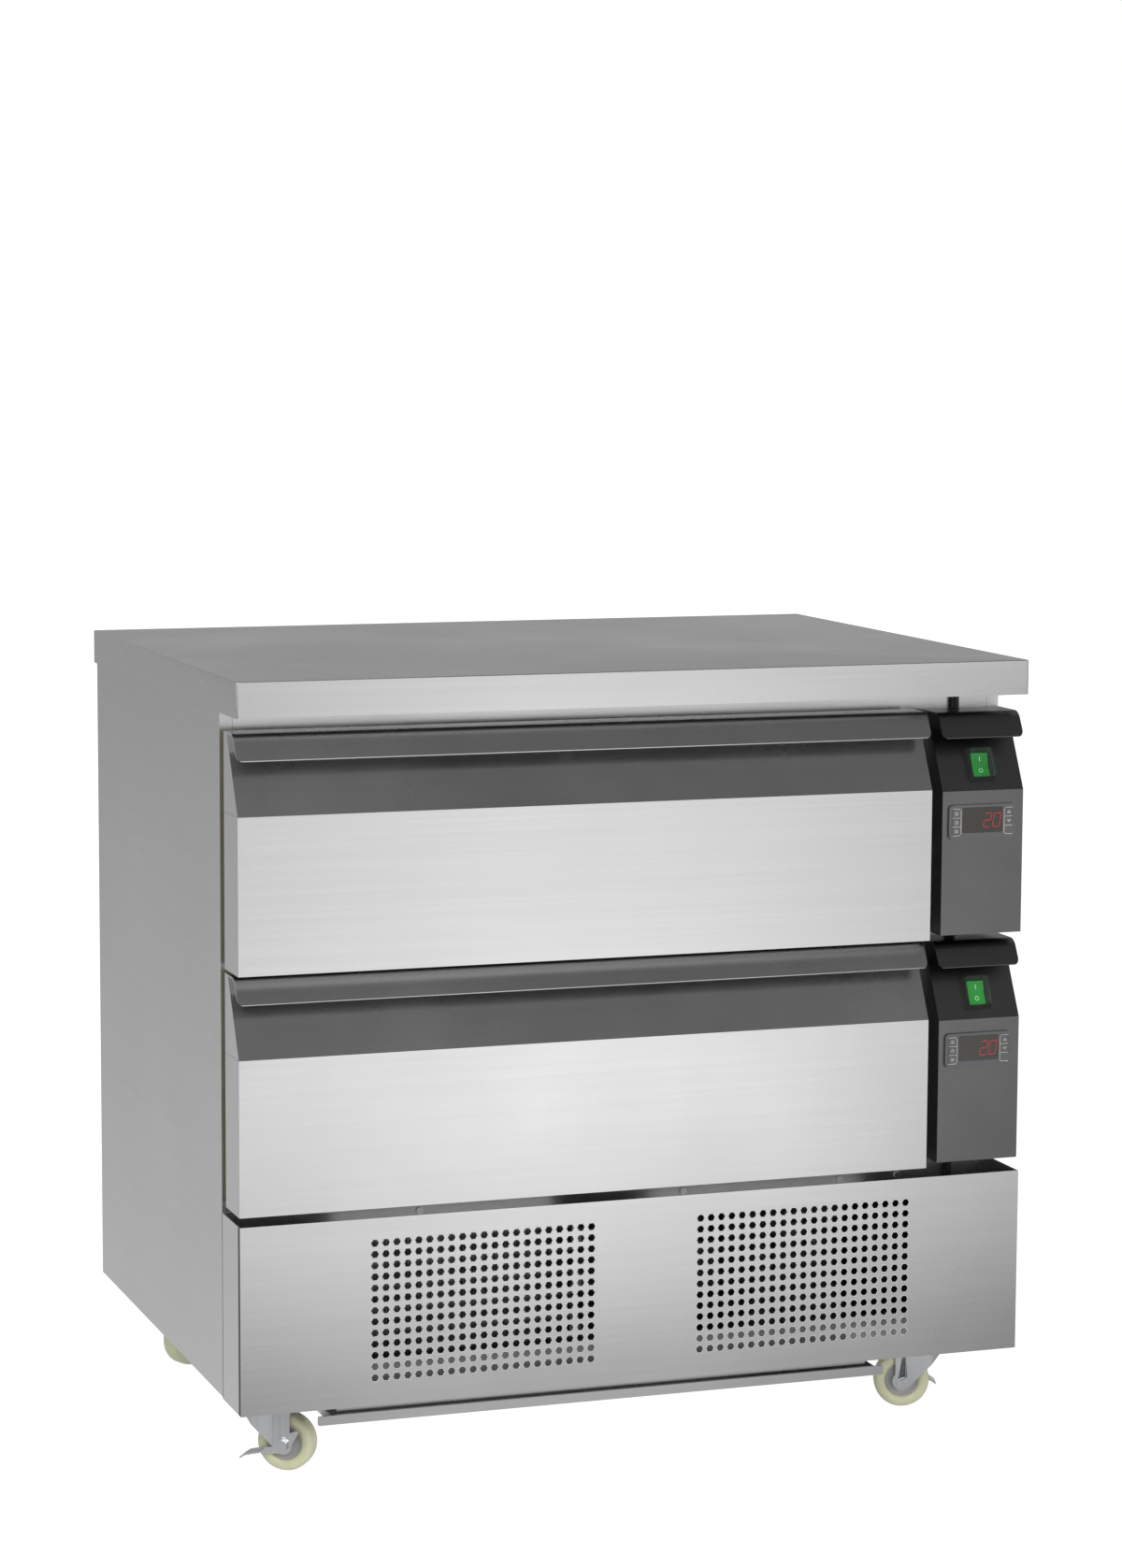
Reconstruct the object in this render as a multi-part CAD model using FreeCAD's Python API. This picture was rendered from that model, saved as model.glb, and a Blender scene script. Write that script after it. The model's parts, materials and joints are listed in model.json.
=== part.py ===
import FreeCAD, Part
import math
import os

from FreeCAD import Vector

# Refrigerated drawer counter: an insulated stainless cabinet on four swivel castors with two
# drawers on telescopic slides, a control column at its right and a compressor bay below.
# Millimetres. X runs left to right, Y runs front to back, Z runs up from the floor.
# The origin lies on the floor under the middle of the worktop.

# Worktop
worktop_width = 896.0
worktop_depth = 660.0
worktop_height = 864.0
worktop_flange = 38.0
worktop_sheet = 1.5
worktop_corner = 3.0
worktop_edge = 1.2

# Cabinet body
body_recess = 74.0
body_depth = 576.0
body_bottom = 94.0
body_tuck = 3.0
panel_sheet = 1.2
panel_return = 14.0
seat_gap = 0.3
bay_height = 201.0
side_foam = 34.0
rear_foam = 29.0
liner_sheet = 1.0
frame_sheet = 2.0
column_wall = 42.0

# Drawer fronts, shared by both drawers
drawer_bottom = 304.0
drawer_pitch = 254.0
drawer_height = 250.0
drawer_crease = 166.0
drawer_slope_run = 44.0
drawer_depth = 56.0
drawer_setback = 1.0
drawer_skin = 1.2
column_gap = 15.0
mouth_inset_x = 36.0
mouth_inset_z = 27.0
side_seam = 0.5

# Folded grip lip
lip_sheet = 1.6
lip_radius = 15.0
lip_angle = 60.0
lip_drop = 26.0
lip_reach = 3.0
lip_corner = 8.0

# Drawer inside
cover_sheet = 1.5
gasket_inset = 8.0
gasket_width = 18.0
gasket_base = 6.0
frame_height = 60.0
frame_length = 540.0
frame_wall = 1.5
frame_top_gap = 12.0
well_ledge = 14.0
well_rear_ledge = 16.0

# Telescopic slides
slide_width = 12.7
slide_height = 45.0
slide_wall = 1.5
slide_length = 510.0
slide_start = 6.0

# Control column
housing_width = 97.0
housing_setback = 6.0
housing_bottom = 308.0
housing_height = 244.0
housing_crease = 159.0
housing_slope_run = 44.0
housing_sheet = 1.5

# Temperature controllers
fascia_width = 80.0
fascia_height = 38.0
fascia_proud = 3.0
fascia_corner = 5.0
controller_body_width = 70.0
controller_body_height = 28.0
controller_body_depth = 52.0
controller_rise = 125.0
window_width = 48.5
window_height = 28.0
window_rise = 2.0
window_sheet = 1.0
key_width = 10.0
key_height = 8.4
key_pitch = 9.8
key_column = 31.6
key_proud = 0.4
key_depth = 1.8
key_travel = 0.5
key_clearance = 0.25

# Power switches
switch_width = 31.0
switch_height = 38.0
switch_bezel = 2.4
switch_body_width = 22.0
switch_body_height = 30.0
switch_body_depth = 24.0
rocker_width = 19.0
rocker_height = 26.0
rocker_tilt = 7.0
rocker_pocket = 10.0
boot_width = 27.0
boot_height = 34.0
boot_rise = 9.0
boot_skin = 0.8

# Compressor cover with its perforations
grille_top = 294.0
grille_bottom = 92.0
grille_sheet = 1.2
grille_flange = 13.0
hole_pitch = 12.1
hole_flats = 7.6
hole_columns = 21
hole_rows = 13
hole_array_left = -300.0
hole_array_right = 67.5
hole_first_row = 122.0

# Castors
wheel_diameter = 63.0
wheel_width = 24.0
wheel_bore = 8.1
axle_diameter = 8.0
castor_trail = 25.0
castor_x = 388.0
castor_y_front = 118.0
castor_y_rear = 542.0
castor_plate = 75.0
castor_plate_sheet = 2.5
castor_turns = (326.0, 161.0, 25.0, 48.0)
crown_radius = 28.0
crown_sheet = 3.0
bridge_reach = 4.0
fork_sheet = 2.5
fork_half_width = 17.5
fork_edge = 8.0
fork_nose_drop = 6.0
leg_radius = 11.0
leg_flat = 12.0
nose_spread = 105.0
raceway_radius = 25.0
kingpin_diameter = 10.0
kingpin_bore = 10.1
running_gap = 0.3
lever_sheet = 2.0
lever_length = 42.0

# Drip tray and its runners
tray_left = -338.0
tray_right = 291.0
tray_bottom = 64.5
tray_height = 10.5
tray_length = 360.0
tray_setback = 36.0
tray_sheet = 1.2
tray_rim = 8.0

# Compressor bay and cold side
compressor_x = 130.0
compressor_y = 262.0
compressor_radius = 62.0
condenser_left = -312.0
condenser_right = -48.0
condenser_front = 96.0
condenser_depth = 44.0
condenser_low = 104.0
condenser_high = 276.0
fin_pitch = 6.0
fin_sheet = 0.8
tube_rise = 14.0
tube_pitch = 25.0
pipe_diameter = 8.0
fan_diameter = 150.0
cold_fan_diameter = 112.0
cold_fan_y = 150.0
coil_left = 314.0
coil_right = 388.0
coil_front = 230.0
coil_rear = 500.0
conduit_diameter = 7.0
wiring_box_setback = 86.0
wiring_box_top = 236.0

# Places worked out from the sizes above
front = -worktop_depth / 2
face = front + body_recess
rear = face + body_depth
body_half = worktop_width / 2 - worktop_sheet - seat_gap
body_top = worktop_height - worktop_flange + body_tuck
bay_ceiling = body_bottom + bay_height
base_level = body_bottom + panel_sheet
housing_right = body_half
housing_left = housing_right - housing_width
drawer_left = -body_half
drawer_right = housing_left - column_gap
drawer_front = front + drawer_setback
drawer_back = drawer_front + drawer_depth
mouth_left = drawer_left + mouth_inset_x
mouth_right = drawer_right - mouth_inset_x
chamber_front = face + frame_sheet
chamber_rear = rear - panel_sheet - rear_foam
chamber_right = body_half - panel_sheet - column_wall
housing_front = front + housing_setback
slide_front = chamber_front + slide_start
frame_left = mouth_left + slide_width
frame_right = mouth_right - slide_width
wiring_box_front = face + wiring_box_setback
cover_back = face - seat_gap / 3
drawer_levels = {"lower": drawer_bottom, "upper": drawer_bottom + drawer_pitch}
housing_levels = {"lower": housing_bottom, "upper": housing_bottom + drawer_pitch}

parts = {}


def box(x0, x1, y0, y1, z0, z1):
    return Part.makeBox(x1 - x0, y1 - y0, z1 - z0, Vector(x0, y0, z0))


def rod(start, direction, length, diameter):
    return Part.makeCylinder(diameter / 2, length, start, direction)


def join(shapes):
    return shapes[0].fuse(shapes[1:]).removeSplitter()


def group(shapes):
    return Part.makeCompound(shapes)


def prism_x(points, x0, x1):
    """A solid from a closed outline of (y, z) points, drawn out along X."""
    corners = [Vector(x0, y, z) for y, z in points]
    face_shape = Part.Face(Part.makePolygon(corners + corners[:1]))
    return face_shape.extrude(Vector(x1 - x0, 0, 0))


def prism_y(points, y0, y1):
    """A solid from a closed outline of (x, z) points, drawn out along Y."""
    corners = [Vector(x, y0, z) for x, z in points]
    face_shape = Part.Face(Part.makePolygon(corners + corners[:1]))
    return face_shape.extrude(Vector(0, y1 - y0, 0))


def edges_along(shape, direction):
    found = []
    for edge in shape.Edges:
        if abs(edge.tangentAt(edge.FirstParameter).dot(direction)) > 0.999:
            found.append(edge)
    return found


def rounded_box(x0, x1, y0, y1, z0, z1, radius, direction):
    block = box(x0, x1, y0, y1, z0, z1)
    return block.makeFillet(radius, edges_along(block, direction))


def level_edges(shape, z):
    """The edges that lie level at one height."""
    return [edge for edge in shape.Edges
            if edge.BoundBox.ZLength < 0.01 and abs(edge.BoundBox.ZMin - z) < 0.01]


def pan(x0, x1, y0, y1, z0, z1, sheet, open_side):
    """A folded sheet box with one side left open."""
    reach = 1.0
    inner = {"x0": x0 + sheet, "x1": x1 - sheet, "y0": y0 + sheet,
             "y1": y1 - sheet, "z0": z0 + sheet, "z1": z1 - sheet}
    outer = {"x0": x0, "x1": x1, "y0": y0, "y1": y1, "z0": z0, "z1": z1}
    sign = -reach if open_side.endswith("0") else reach
    inner[open_side] = outer[open_side] + sign
    return box(x0, x1, y0, y1, z0, z1).cut(
        box(inner["x0"], inner["x1"], inner["y0"], inner["y1"], inner["z0"], inner["z1"]))


def pipe_run(points, bend_radius, diameter):
    """A round tube along straight runs that are joined by tangent arcs of one radius."""
    edges = []
    start = points[0]
    for index in range(1, len(points) - 1):
        corner = points[index]
        arriving = (corner - points[index - 1]).normalize()
        leaving = (points[index + 1] - corner).normalize()
        half_turn = arriving.getAngle(leaving) / 2
        setback = bend_radius * math.tan(half_turn)
        arc_start = corner - arriving * setback
        arc_end = corner + leaving * setback
        inward = (leaving - arriving).normalize()
        centre = corner + inward * (bend_radius / math.cos(half_turn))
        middle = centre - inward * bend_radius
        edges.append(Part.LineSegment(start, arc_start).toShape())
        edges.append(Part.Arc(arc_start, middle, arc_end).toShape())
        start = arc_end
    edges.append(Part.LineSegment(start, points[-1]).toShape())
    direction = (points[1] - points[0]).normalize()
    ring = Part.Wire([Part.makeCircle(diameter / 2, points[0], direction)])
    return Part.Wire(edges).makePipeShell([ring], True, False)


def front_profile(y_front, z_bottom, height, crease, run, depth, inset, back_reach):
    """The side outline that drawer fronts and control housings share.

    The lower part stands upright and the upper part leans back from the crease.
    """
    lean = math.atan(run / (height - crease))
    fold_z = z_bottom + crease - inset * math.tan(lean / 2)
    top_z = z_bottom + height - inset
    top_y = y_front + inset + (top_z - fold_z) * math.tan(lean)
    back_y = y_front + depth + back_reach
    return [(y_front + inset, z_bottom + inset), (y_front + inset, fold_z), (top_y, top_z),
            (back_y, top_z), (back_y, z_bottom + inset)]


def slope_frame(y_front, z_bottom, height, crease, run, share):
    """A point on the leaning face, the direction up the slope and the outward normal."""
    lean = math.atan(run / (height - crease))
    along = Vector(0, math.sin(lean), math.cos(lean))
    outward = Vector(0, -math.cos(lean), math.sin(lean))
    base = Vector(0, y_front, z_bottom + crease)
    return base + along * (share * (height - crease) / math.cos(lean)), along, outward


def grip_lip(x0, x1, y_tip, z_top, y_root):
    """A folded sheet grip: flat top, round shoulder, forward leaning face and hemmed tip."""
    turn = math.radians(lip_angle)
    down = Vector(0, -math.cos(turn), -math.sin(turn))
    inward = Vector(0, math.sin(turn), -math.cos(turn))
    straight = (lip_drop - lip_radius * (1 - math.cos(turn))) / math.sin(turn)
    y_flat = y_tip + straight * math.cos(turn) + lip_radius * math.sin(turn)
    centre = Vector(x0, y_flat, z_top - lip_radius)

    def on_arc(radius, angle):
        return centre + Vector(0, -radius * math.sin(angle), radius * math.cos(angle))

    inner_radius = lip_radius - lip_sheet
    outer_start = Vector(x0, y_flat, z_top)
    outer_end = on_arc(lip_radius, turn)
    tip_outer = outer_end + down * straight
    tip_inner = tip_outer + inward * lip_sheet
    tip_middle = (tip_outer + tip_inner) * 0.5 + down * (lip_sheet / 2)
    inner_end = on_arc(inner_radius, turn)
    inner_start = Vector(x0, y_flat, z_top - lip_sheet)
    root_top = Vector(x0, y_root, z_top)
    root_low = Vector(x0, y_root, z_top - lip_sheet)
    outline = [Part.LineSegment(root_top, outer_start),
               Part.Arc(outer_start, on_arc(lip_radius, turn / 2), outer_end),
               Part.LineSegment(outer_end, tip_outer),
               Part.Arc(tip_outer, tip_middle, tip_inner),
               Part.LineSegment(tip_inner, inner_end),
               Part.Arc(inner_end, on_arc(inner_radius, turn / 2), inner_start),
               Part.LineSegment(inner_start, root_low),
               Part.LineSegment(root_low, root_top)]
    section = Part.Face(Part.Wire([piece.toShape() for piece in outline]))
    sheet = section.extrude(Vector(x1 - x0, 0, 0))
    window = rounded_box(x0, x1, y_tip - 20, y_root + 20,
                         z_top - lip_drop - lip_sheet, z_top + 30, lip_corner, Vector(0, 1, 0))
    return sheet.common(window)


def worktop():
    half = worktop_width / 2
    low = worktop_height - worktop_flange
    outer = rounded_box(-half, half, front, -front, low, worktop_height,
                        worktop_corner, Vector(0, 0, 1))
    outer = outer.makeFillet(worktop_edge, level_edges(outer, worktop_height))
    inside = rounded_box(-half + worktop_sheet, half - worktop_sheet, front + worktop_sheet,
                         -front - worktop_sheet, low - 1, worktop_height - worktop_sheet,
                         worktop_corner - worktop_sheet, Vector(0, 0, 1))
    shell = outer.cut(inside)
    for screw in worktop_screws(seat_gap / 6):
        shell = shell.cut(screw)
    return shell


def worktop_screws(clearance):
    """Flush screws through the worktop's side flanges into its board."""
    screws = []
    for side in (-1, 1):
        for y in (front + 141.0, front + 519.0):
            start = Vector(side * worktop_width / 2, y, worktop_height - 13.0)
            screws.append(rod(start, Vector(-side, 0, 0), 16.0 + clearance, 5.0 + 2 * clearance))
    return screws


def worktop_board():
    half = worktop_width / 2 - worktop_sheet
    board = rounded_box(-half, half, front + worktop_sheet, -front - worktop_sheet,
                        body_top, worktop_height - worktop_sheet,
                        worktop_corner - worktop_sheet, Vector(0, 0, 1))
    for screw in worktop_screws(seat_gap / 6):
        board = board.cut(screw)
    return board


def side_panel(side):
    """A flat side sheet with narrow returns along its front, rear and bottom."""
    outside = side * body_half
    inside = side * (body_half - panel_sheet)
    hidden = side * (body_half - panel_return)
    low = min(outside, hidden)
    high = max(outside, hidden)
    sheet = box(min(outside, inside), max(outside, inside), face, rear, body_bottom, body_top)
    front_return = box(low, high, face, face + panel_sheet, body_bottom, body_top)
    rear_return = box(low, high, rear - panel_sheet, rear, body_bottom, body_top)
    foot_return = box(low, high, face, rear, body_bottom, base_level)
    panel = join([sheet, front_return, rear_return, foot_return])
    for screw in cover_screws(seat_gap / 6):
        panel = panel.cut(screw)
    return panel


def back_panel():
    """The rear sheet, with louvre slots behind the compressor bay and a mains inlet hole."""
    half = body_half - panel_return - seat_gap
    sheet = box(-half, half, rear - panel_sheet, rear, body_bottom, body_top)
    for column in range(2):
        for row in range(8):
            x = -330.0 + 160.0 * column
            z = 130.0 + 16.0 * row
            sheet = sheet.cut(box(x, x + 130.0, rear - panel_sheet - 1, rear + 1, z, z + 5.0))
    return sheet.cut(mains_gland_rod(0.2))


def mains_gland_rod(clearance):
    start = Vector(360.0, rear - 12.0, 150.0)
    return rod(start, Vector(0, 1, 0), 18.0, 16.0 + 2 * clearance)


def chamber_limits(level):
    """The inside of one insulated chamber: x0, x1, y0, y1, z0, z1."""
    low = drawer_levels[level] + mouth_inset_z
    high = drawer_levels[level] + drawer_height - mouth_inset_z
    return mouth_left, chamber_right, chamber_front, chamber_rear, low, high


def chamber_liner(level):
    x0, x1, y0, y1, z0, z1 = chamber_limits(level)
    t = liner_sheet
    outer = box(x0 - t, x1 + t, y0, y1 + t, z0 - t, z1 + t)
    return outer.cut(box(x0, x1, y0 - 1, y1, z0, z1))


def insulation_slabs():
    """Foam boards that meet face to face round the two liners, and the worktop's board."""
    left = -body_half + panel_sheet
    right = body_half - panel_sheet
    behind = rear - panel_sheet
    x0, x1, y0, y1, low_floor, low_roof = chamber_limits("lower")
    high_floor, high_roof = chamber_limits("upper")[4:]
    t = liner_sheet
    slabs = [box(left, x0 - t, y0, behind, bay_ceiling, body_top),
             box(x1 + t, right, y0, behind, bay_ceiling, body_top),
             box(x0 - t, x1 + t, y0, behind, bay_ceiling, low_floor - t),
             box(x0 - t, x1 + t, y0, behind, low_roof + t, high_floor - t),
             box(x0 - t, x1 + t, y0, behind, high_roof + t, body_top),
             box(x0 - t, x1 + t, y1 + t, behind, low_floor - t, low_roof + t),
             box(x0 - t, x1 + t, y1 + t, behind, high_floor - t, high_roof + t)]
    slabs.append(worktop_board())
    return group(slabs)


def face_frame():
    """The front sheet of the body with a mouth for each drawer and a rail under them."""
    half = body_half - panel_return - seat_gap
    sheet = box(-half, half, face, chamber_front, bay_ceiling - 32.0, body_top)
    for level in ("lower", "upper"):
        z0, z1 = chamber_limits(level)[4:]
        sheet = sheet.cut(box(mouth_left, mouth_right, face - 1, chamber_front + 1, z0, z1))
    for screw in rail_screws(seat_gap / 6):
        sheet = sheet.cut(screw)
    return sheet


def rail_screws(clearance):
    """Pan head screws along the rail under the lower drawer."""
    screws = []
    for x in (-228.0, 75.0, 262.0, 332.0):
        shank = rod(Vector(x, face, 281.0), Vector(0, 1, 0), 8.0, 4.0 + 2 * clearance)
        if clearance == 0:
            head = rod(Vector(x, face - 2.2, 281.0), Vector(0, 1, 0), 2.2, 8.0)
            shank = join([shank, head])
        screws.append(shank)
    return screws


def cover_screws(clearance):
    """Screws through the cover's rear flanges into the side panels' front returns."""
    screws = []
    for side in (-1, 1):
        for z in (128.0, 258.0):
            x = side * (body_half - 8.5)
            start = Vector(x, cover_back - grille_sheet, z)
            shank = rod(start, Vector(0, 1, 0), 9.0, 4.0 + 2 * clearance)
            if clearance == 0:
                head = rod(start - Vector(0, 2.4, 0), Vector(0, 1, 0), 2.4, 7.5)
                shank = join([shank, head])
            screws.append(shank)
    return screws


def perforated_front():
    """The cover's front sheet, built as one face with all its six-sided holes."""
    radius = hole_flats / math.sqrt(3)
    y = front
    outline = [Vector(-body_half, y, grille_bottom), Vector(body_half, y, grille_bottom),
               Vector(body_half, y, grille_top), Vector(-body_half, y, grille_top)]
    wires = [Part.makePolygon(outline + outline[:1])]
    for first_x in (hole_array_left, hole_array_right):
        for column in range(hole_columns):
            for row in range(hole_rows):
                x = first_x + hole_pitch * column
                z = hole_first_row + hole_pitch * row
                corners = []
                for corner in range(6):
                    angle = math.radians(60 * corner)
                    corners.append(Vector(x + radius * math.cos(angle), y,
                                          z + radius * math.sin(angle)))
                wires.append(Part.makePolygon(corners + corners[:1]))
    holed = Part.makeFace(wires, "Part::FaceMakerBullseye")
    return holed.extrude(Vector(0, grille_sheet, 0))


def grille_panel():
    """A U-shaped cover: perforated front, side returns, and flanges at the foot and rear."""
    inner = front + grille_sheet
    pieces = [box(-body_half, body_half, inner, inner + grille_flange,
                  grille_bottom, grille_bottom + grille_sheet)]
    for side in (-1, 1):
        outside = side * body_half
        wall = side * (body_half - grille_sheet)
        hidden = side * (body_half - grille_flange)
        pieces.append(box(min(outside, wall), max(outside, wall), inner, cover_back,
                          grille_bottom, grille_top))
        pieces.append(box(min(outside, hidden), max(outside, hidden),
                          cover_back - grille_sheet, cover_back, grille_bottom, grille_top))
    returns = join(pieces)
    for screw in cover_screws(seat_gap / 6):
        returns = returns.cut(screw)
    return perforated_front().fuse(returns)


def drawer_profile(level, inset, back_reach):
    return front_profile(drawer_front, drawer_levels[level], drawer_height, drawer_crease,
                         drawer_slope_run, drawer_depth, inset, back_reach)


def drawer_screw(level, clearance):
    """The small screw in the right end of a drawer front, behind its lip."""
    start = Vector(drawer_right + 3.0, drawer_front + 36.0, drawer_levels[level] + 217.0)
    if clearance > 0:
        return rod(start, Vector(-1, 0, 0), 14.0, 3.5 + 2 * clearance)
    shank = rod(start, Vector(-1, 0, 0), 11.0, 3.5)
    head = rod(start, Vector(-1, 0, 0), 3.0, 6.5)
    return join([shank, head])


def drawer_skin_sheet(level):
    """The folded stainless front with its grip lip and closed ends."""
    outer = prism_x(drawer_profile(level, 0, 0), drawer_left, drawer_right)
    inner = prism_x(drawer_profile(level, drawer_skin, 1),
                    drawer_left + drawer_skin, drawer_right - drawer_skin)
    shell = outer.cut(inner)
    top = drawer_levels[level] + drawer_height
    lip = grip_lip(drawer_left, drawer_right, drawer_front + lip_reach, top,
                   drawer_front + drawer_slope_run)
    skin = join([shell, lip])
    seam_z = drawer_levels[level] + drawer_crease
    for x0, x1 in ((drawer_left - 1, drawer_left + drawer_skin / 2),
                   (drawer_right - drawer_skin / 2, drawer_right + 1)):
        skin = skin.cut(box(x0, x1, drawer_front + 1.5, drawer_back + 1,
                            seam_z - side_seam / 2, seam_z + side_seam / 2))
    return skin.cut(drawer_screw(level, seat_gap / 6))


def drawer_core(level):
    """The foam core and the flat inner cover that closes a drawer front's back."""
    inset = drawer_skin
    cover_front = drawer_back - cover_sheet
    fill = prism_x(drawer_profile(level, inset, 0),
                   drawer_left + inset, drawer_right - inset)
    cover_space = box(drawer_left, drawer_right, cover_front, drawer_back + 1,
                      drawer_levels[level] - 1, drawer_levels[level] + drawer_height + 1)
    foam = fill.cut(cover_space).cut(drawer_screw(level, seat_gap / 6))
    cover = fill.common(cover_space)
    return group([foam, cover])


def drawer_gasket(level):
    """A soft ring on the back of a drawer front: clipped foot, bellows and magnet bulb."""
    z_low = drawer_levels[level] + gasket_inset
    z_high = drawer_levels[level] + drawer_height - gasket_inset
    x_low = drawer_left + gasket_inset
    x_high = drawer_right - gasket_inset
    seal = face - seat_gap

    def ring(margin, width, y0, y1):
        outer = box(x_low + margin, x_high - margin, y0, y1, z_low + margin, z_high - margin)
        reach = margin + width
        return outer.cut(box(x_low + reach, x_high - reach, y0 - 1, y1 + 1,
                             z_low + reach, z_high - reach))

    fold = (seal - drawer_back - gasket_base) / 2
    foot = ring(4.0, gasket_width - 8.0, drawer_back, drawer_back + gasket_base)
    bellows = ring(2.0, gasket_width - 4.0, drawer_back + gasket_base,
                   drawer_back + gasket_base + fold)
    bulb = ring(0.0, gasket_width, drawer_back + gasket_base + fold, seal)
    return join([foot, bellows, bulb])


def slide_centre(level):
    top = drawer_levels[level] + drawer_height - mouth_inset_z - frame_top_gap
    return top - frame_height / 2


def slide_member(level, side, wall_gap, reach, half_height, wall, y0, y1):
    """A C-section rail that opens towards the drawer, measured from the chamber wall."""
    z = slide_centre(level)
    outer = slide_box(side, wall_gap, reach, y0, y1, z - half_height, z + half_height)
    inner = slide_box(side, wall_gap + wall, reach + 1, y0 - 1, y1 + 1,
                      z - half_height + wall, z + half_height - wall)
    return outer.cut(inner)


def slide_box(side, near, far, y0, y1, z0, z1):
    """A block placed by its distances from the chamber wall at the given side."""
    if side < 0:
        return box(mouth_left + near, mouth_left + far, y0, y1, z0, z1)
    return box(mouth_right - far, mouth_right - near, y0, y1, z0, z1)


def cabinet_slide(level, side):
    return slide_member(level, side, 0, slide_width - 1.7, slide_height / 2, slide_wall,
                        slide_front, slide_front + slide_length)


def middle_slide(level, side):
    gap = slide_wall + running_gap
    return slide_member(level, side, gap, slide_width - 2.2, slide_height / 2 - gap,
                        slide_wall, slide_front, slide_front + slide_length - 10.0)


def inner_slide(level, side):
    near = 2 * (slide_wall + running_gap)
    half = slide_height / 2 - near
    z = slide_centre(level)
    return slide_box(side, near, slide_width, slide_front,
                     slide_front + slide_length - 20.0, z - half, z + half)


def drawer_frame(level):
    """The welded pan frame with two open wells, and the slide rail on each of its sides."""
    top = slide_centre(level) + frame_height / 2
    low = slide_centre(level) - frame_height / 2
    y0 = drawer_back
    y1 = drawer_back + frame_length
    frame = pan(frame_left, frame_right, y0, y1, low, top, frame_wall, "z0")
    middle = (frame_left + frame_right) / 2
    frame = join([frame, box(middle - frame_wall, middle + frame_wall, y0, y1, low + 20, top)])
    for x0, x1 in well_spans():
        frame = frame.cut(box(x0, x1, y0 + well_rear_ledge, y1 - well_rear_ledge,
                              top - frame_wall - 1, top + 1))
    return group([frame, inner_slide(level, -1), inner_slide(level, 1)])


def well_spans():
    """The left and right limits of the two pan wells."""
    middle = (frame_left + frame_right) / 2
    return ((frame_left + well_ledge, middle - well_ledge / 2),
            (middle + well_ledge / 2, frame_right - well_ledge))


def housing_profile(level, inset, back_reach):
    return front_profile(housing_front, housing_levels[level], housing_height,
                         housing_crease, housing_slope_run, face - housing_front,
                         inset, back_reach)


def controller_centre(level):
    x = (housing_left + housing_right) / 2 - 1.5
    return x, housing_levels[level] + controller_rise


def switch_frame_of(level):
    base, along, outward = slope_frame(housing_front, housing_levels[level], housing_height,
                                       housing_crease, housing_slope_run, 0.31)
    base.x = (housing_left + housing_right) / 2 + 1.0
    return base, along, outward


def on_slope(level, width, height, low, high, shift=0.0):
    """A block square to the leaning face, from depth low to height high over it."""
    base, along, outward = switch_frame_of(level)
    corner = base - Vector(width / 2, 0, 0) + along * (shift - height / 2) + outward * low
    across = Vector(width, 0, 0)
    corners = [corner, corner + across, corner + across + along * height,
               corner + along * height]
    plate = Part.Face(Part.makePolygon(corners + corners[:1]))
    return plate.extrude(outward * (high - low))


def rounded_on_slope(level, width, height, low, high, radius):
    block = on_slope(level, width, height, low, high)
    return block.makeFillet(radius, edges_along(block, switch_frame_of(level)[2]))


def control_housing(level):
    """A folded sheet housing with the same side outline and lip as a drawer front."""
    outer = prism_x(housing_profile(level, 0, 0), housing_left, housing_right)
    inner = prism_x(housing_profile(level, housing_sheet, 1),
                    housing_left + housing_sheet, housing_right - housing_sheet)
    top = housing_levels[level] + housing_height
    lip = grip_lip(housing_left, housing_right, housing_front + lip_reach - 2.0, top,
                   housing_front + housing_slope_run)
    shell = join([outer.cut(inner), lip])
    x, z = controller_centre(level)
    hole = box(x - controller_body_width / 2 - 0.3, x + controller_body_width / 2 + 0.3,
               housing_front - 1, housing_front + housing_sheet + 1,
               z - controller_body_height / 2 - 0.3, z + controller_body_height / 2 + 0.3)
    shell = shell.cut(hole)
    shell = shell.cut(on_slope(level, switch_body_width + 0.4, switch_body_height + 0.4,
                               -housing_sheet - 1, 1))
    return shell.cut(conduit_rod(conduit_diameter + 4.0))


def conduit_rod(diameter):
    start = conduit_points()[0]
    return rod(Vector(start.x, start.y, 250.0), Vector(0, 0, 1), start.z - 250.0 + 1, diameter)


def conduit_points():
    """The wiring conduit's route from the worktop board down into the compressor bay."""
    x = 391.0
    y = face - 7.5
    return [Vector(x, y, body_top), Vector(x, y, 222.0), Vector(x, wiring_box_front, 222.0)]


def wiring_conduit():
    tube = pipe_run(conduit_points(), 30.0, conduit_diameter)
    start = conduit_points()[0]
    z = housing_levels["lower"] - 1.0
    boot = Part.makeCone(5.2, conduit_diameter / 2 + 0.6, 15.0,
                         Vector(start.x, start.y, z), Vector(0, 0, -1))
    return join([tube, boot])


def key_places(level):
    """The centres of one controller's five keys: three at the left, two at the right."""
    x, z = controller_centre(level)
    left = x - key_column
    right = x + key_column
    return {"set": (left, z - key_pitch), "timer": (left, z), "light": (left, z + key_pitch),
            "up": (right, z + key_pitch), "down": (right, z)}


def key_block(level, name, margin, y0, y1):
    x, z = key_places(level)[name]
    half_x = key_width / 2 + margin
    half_z = key_height / 2 + margin
    return rounded_box(x - half_x, x + half_x, y0, y1, z - half_z, z + half_z,
                       1.2 + margin, Vector(0, 1, 0))


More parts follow.
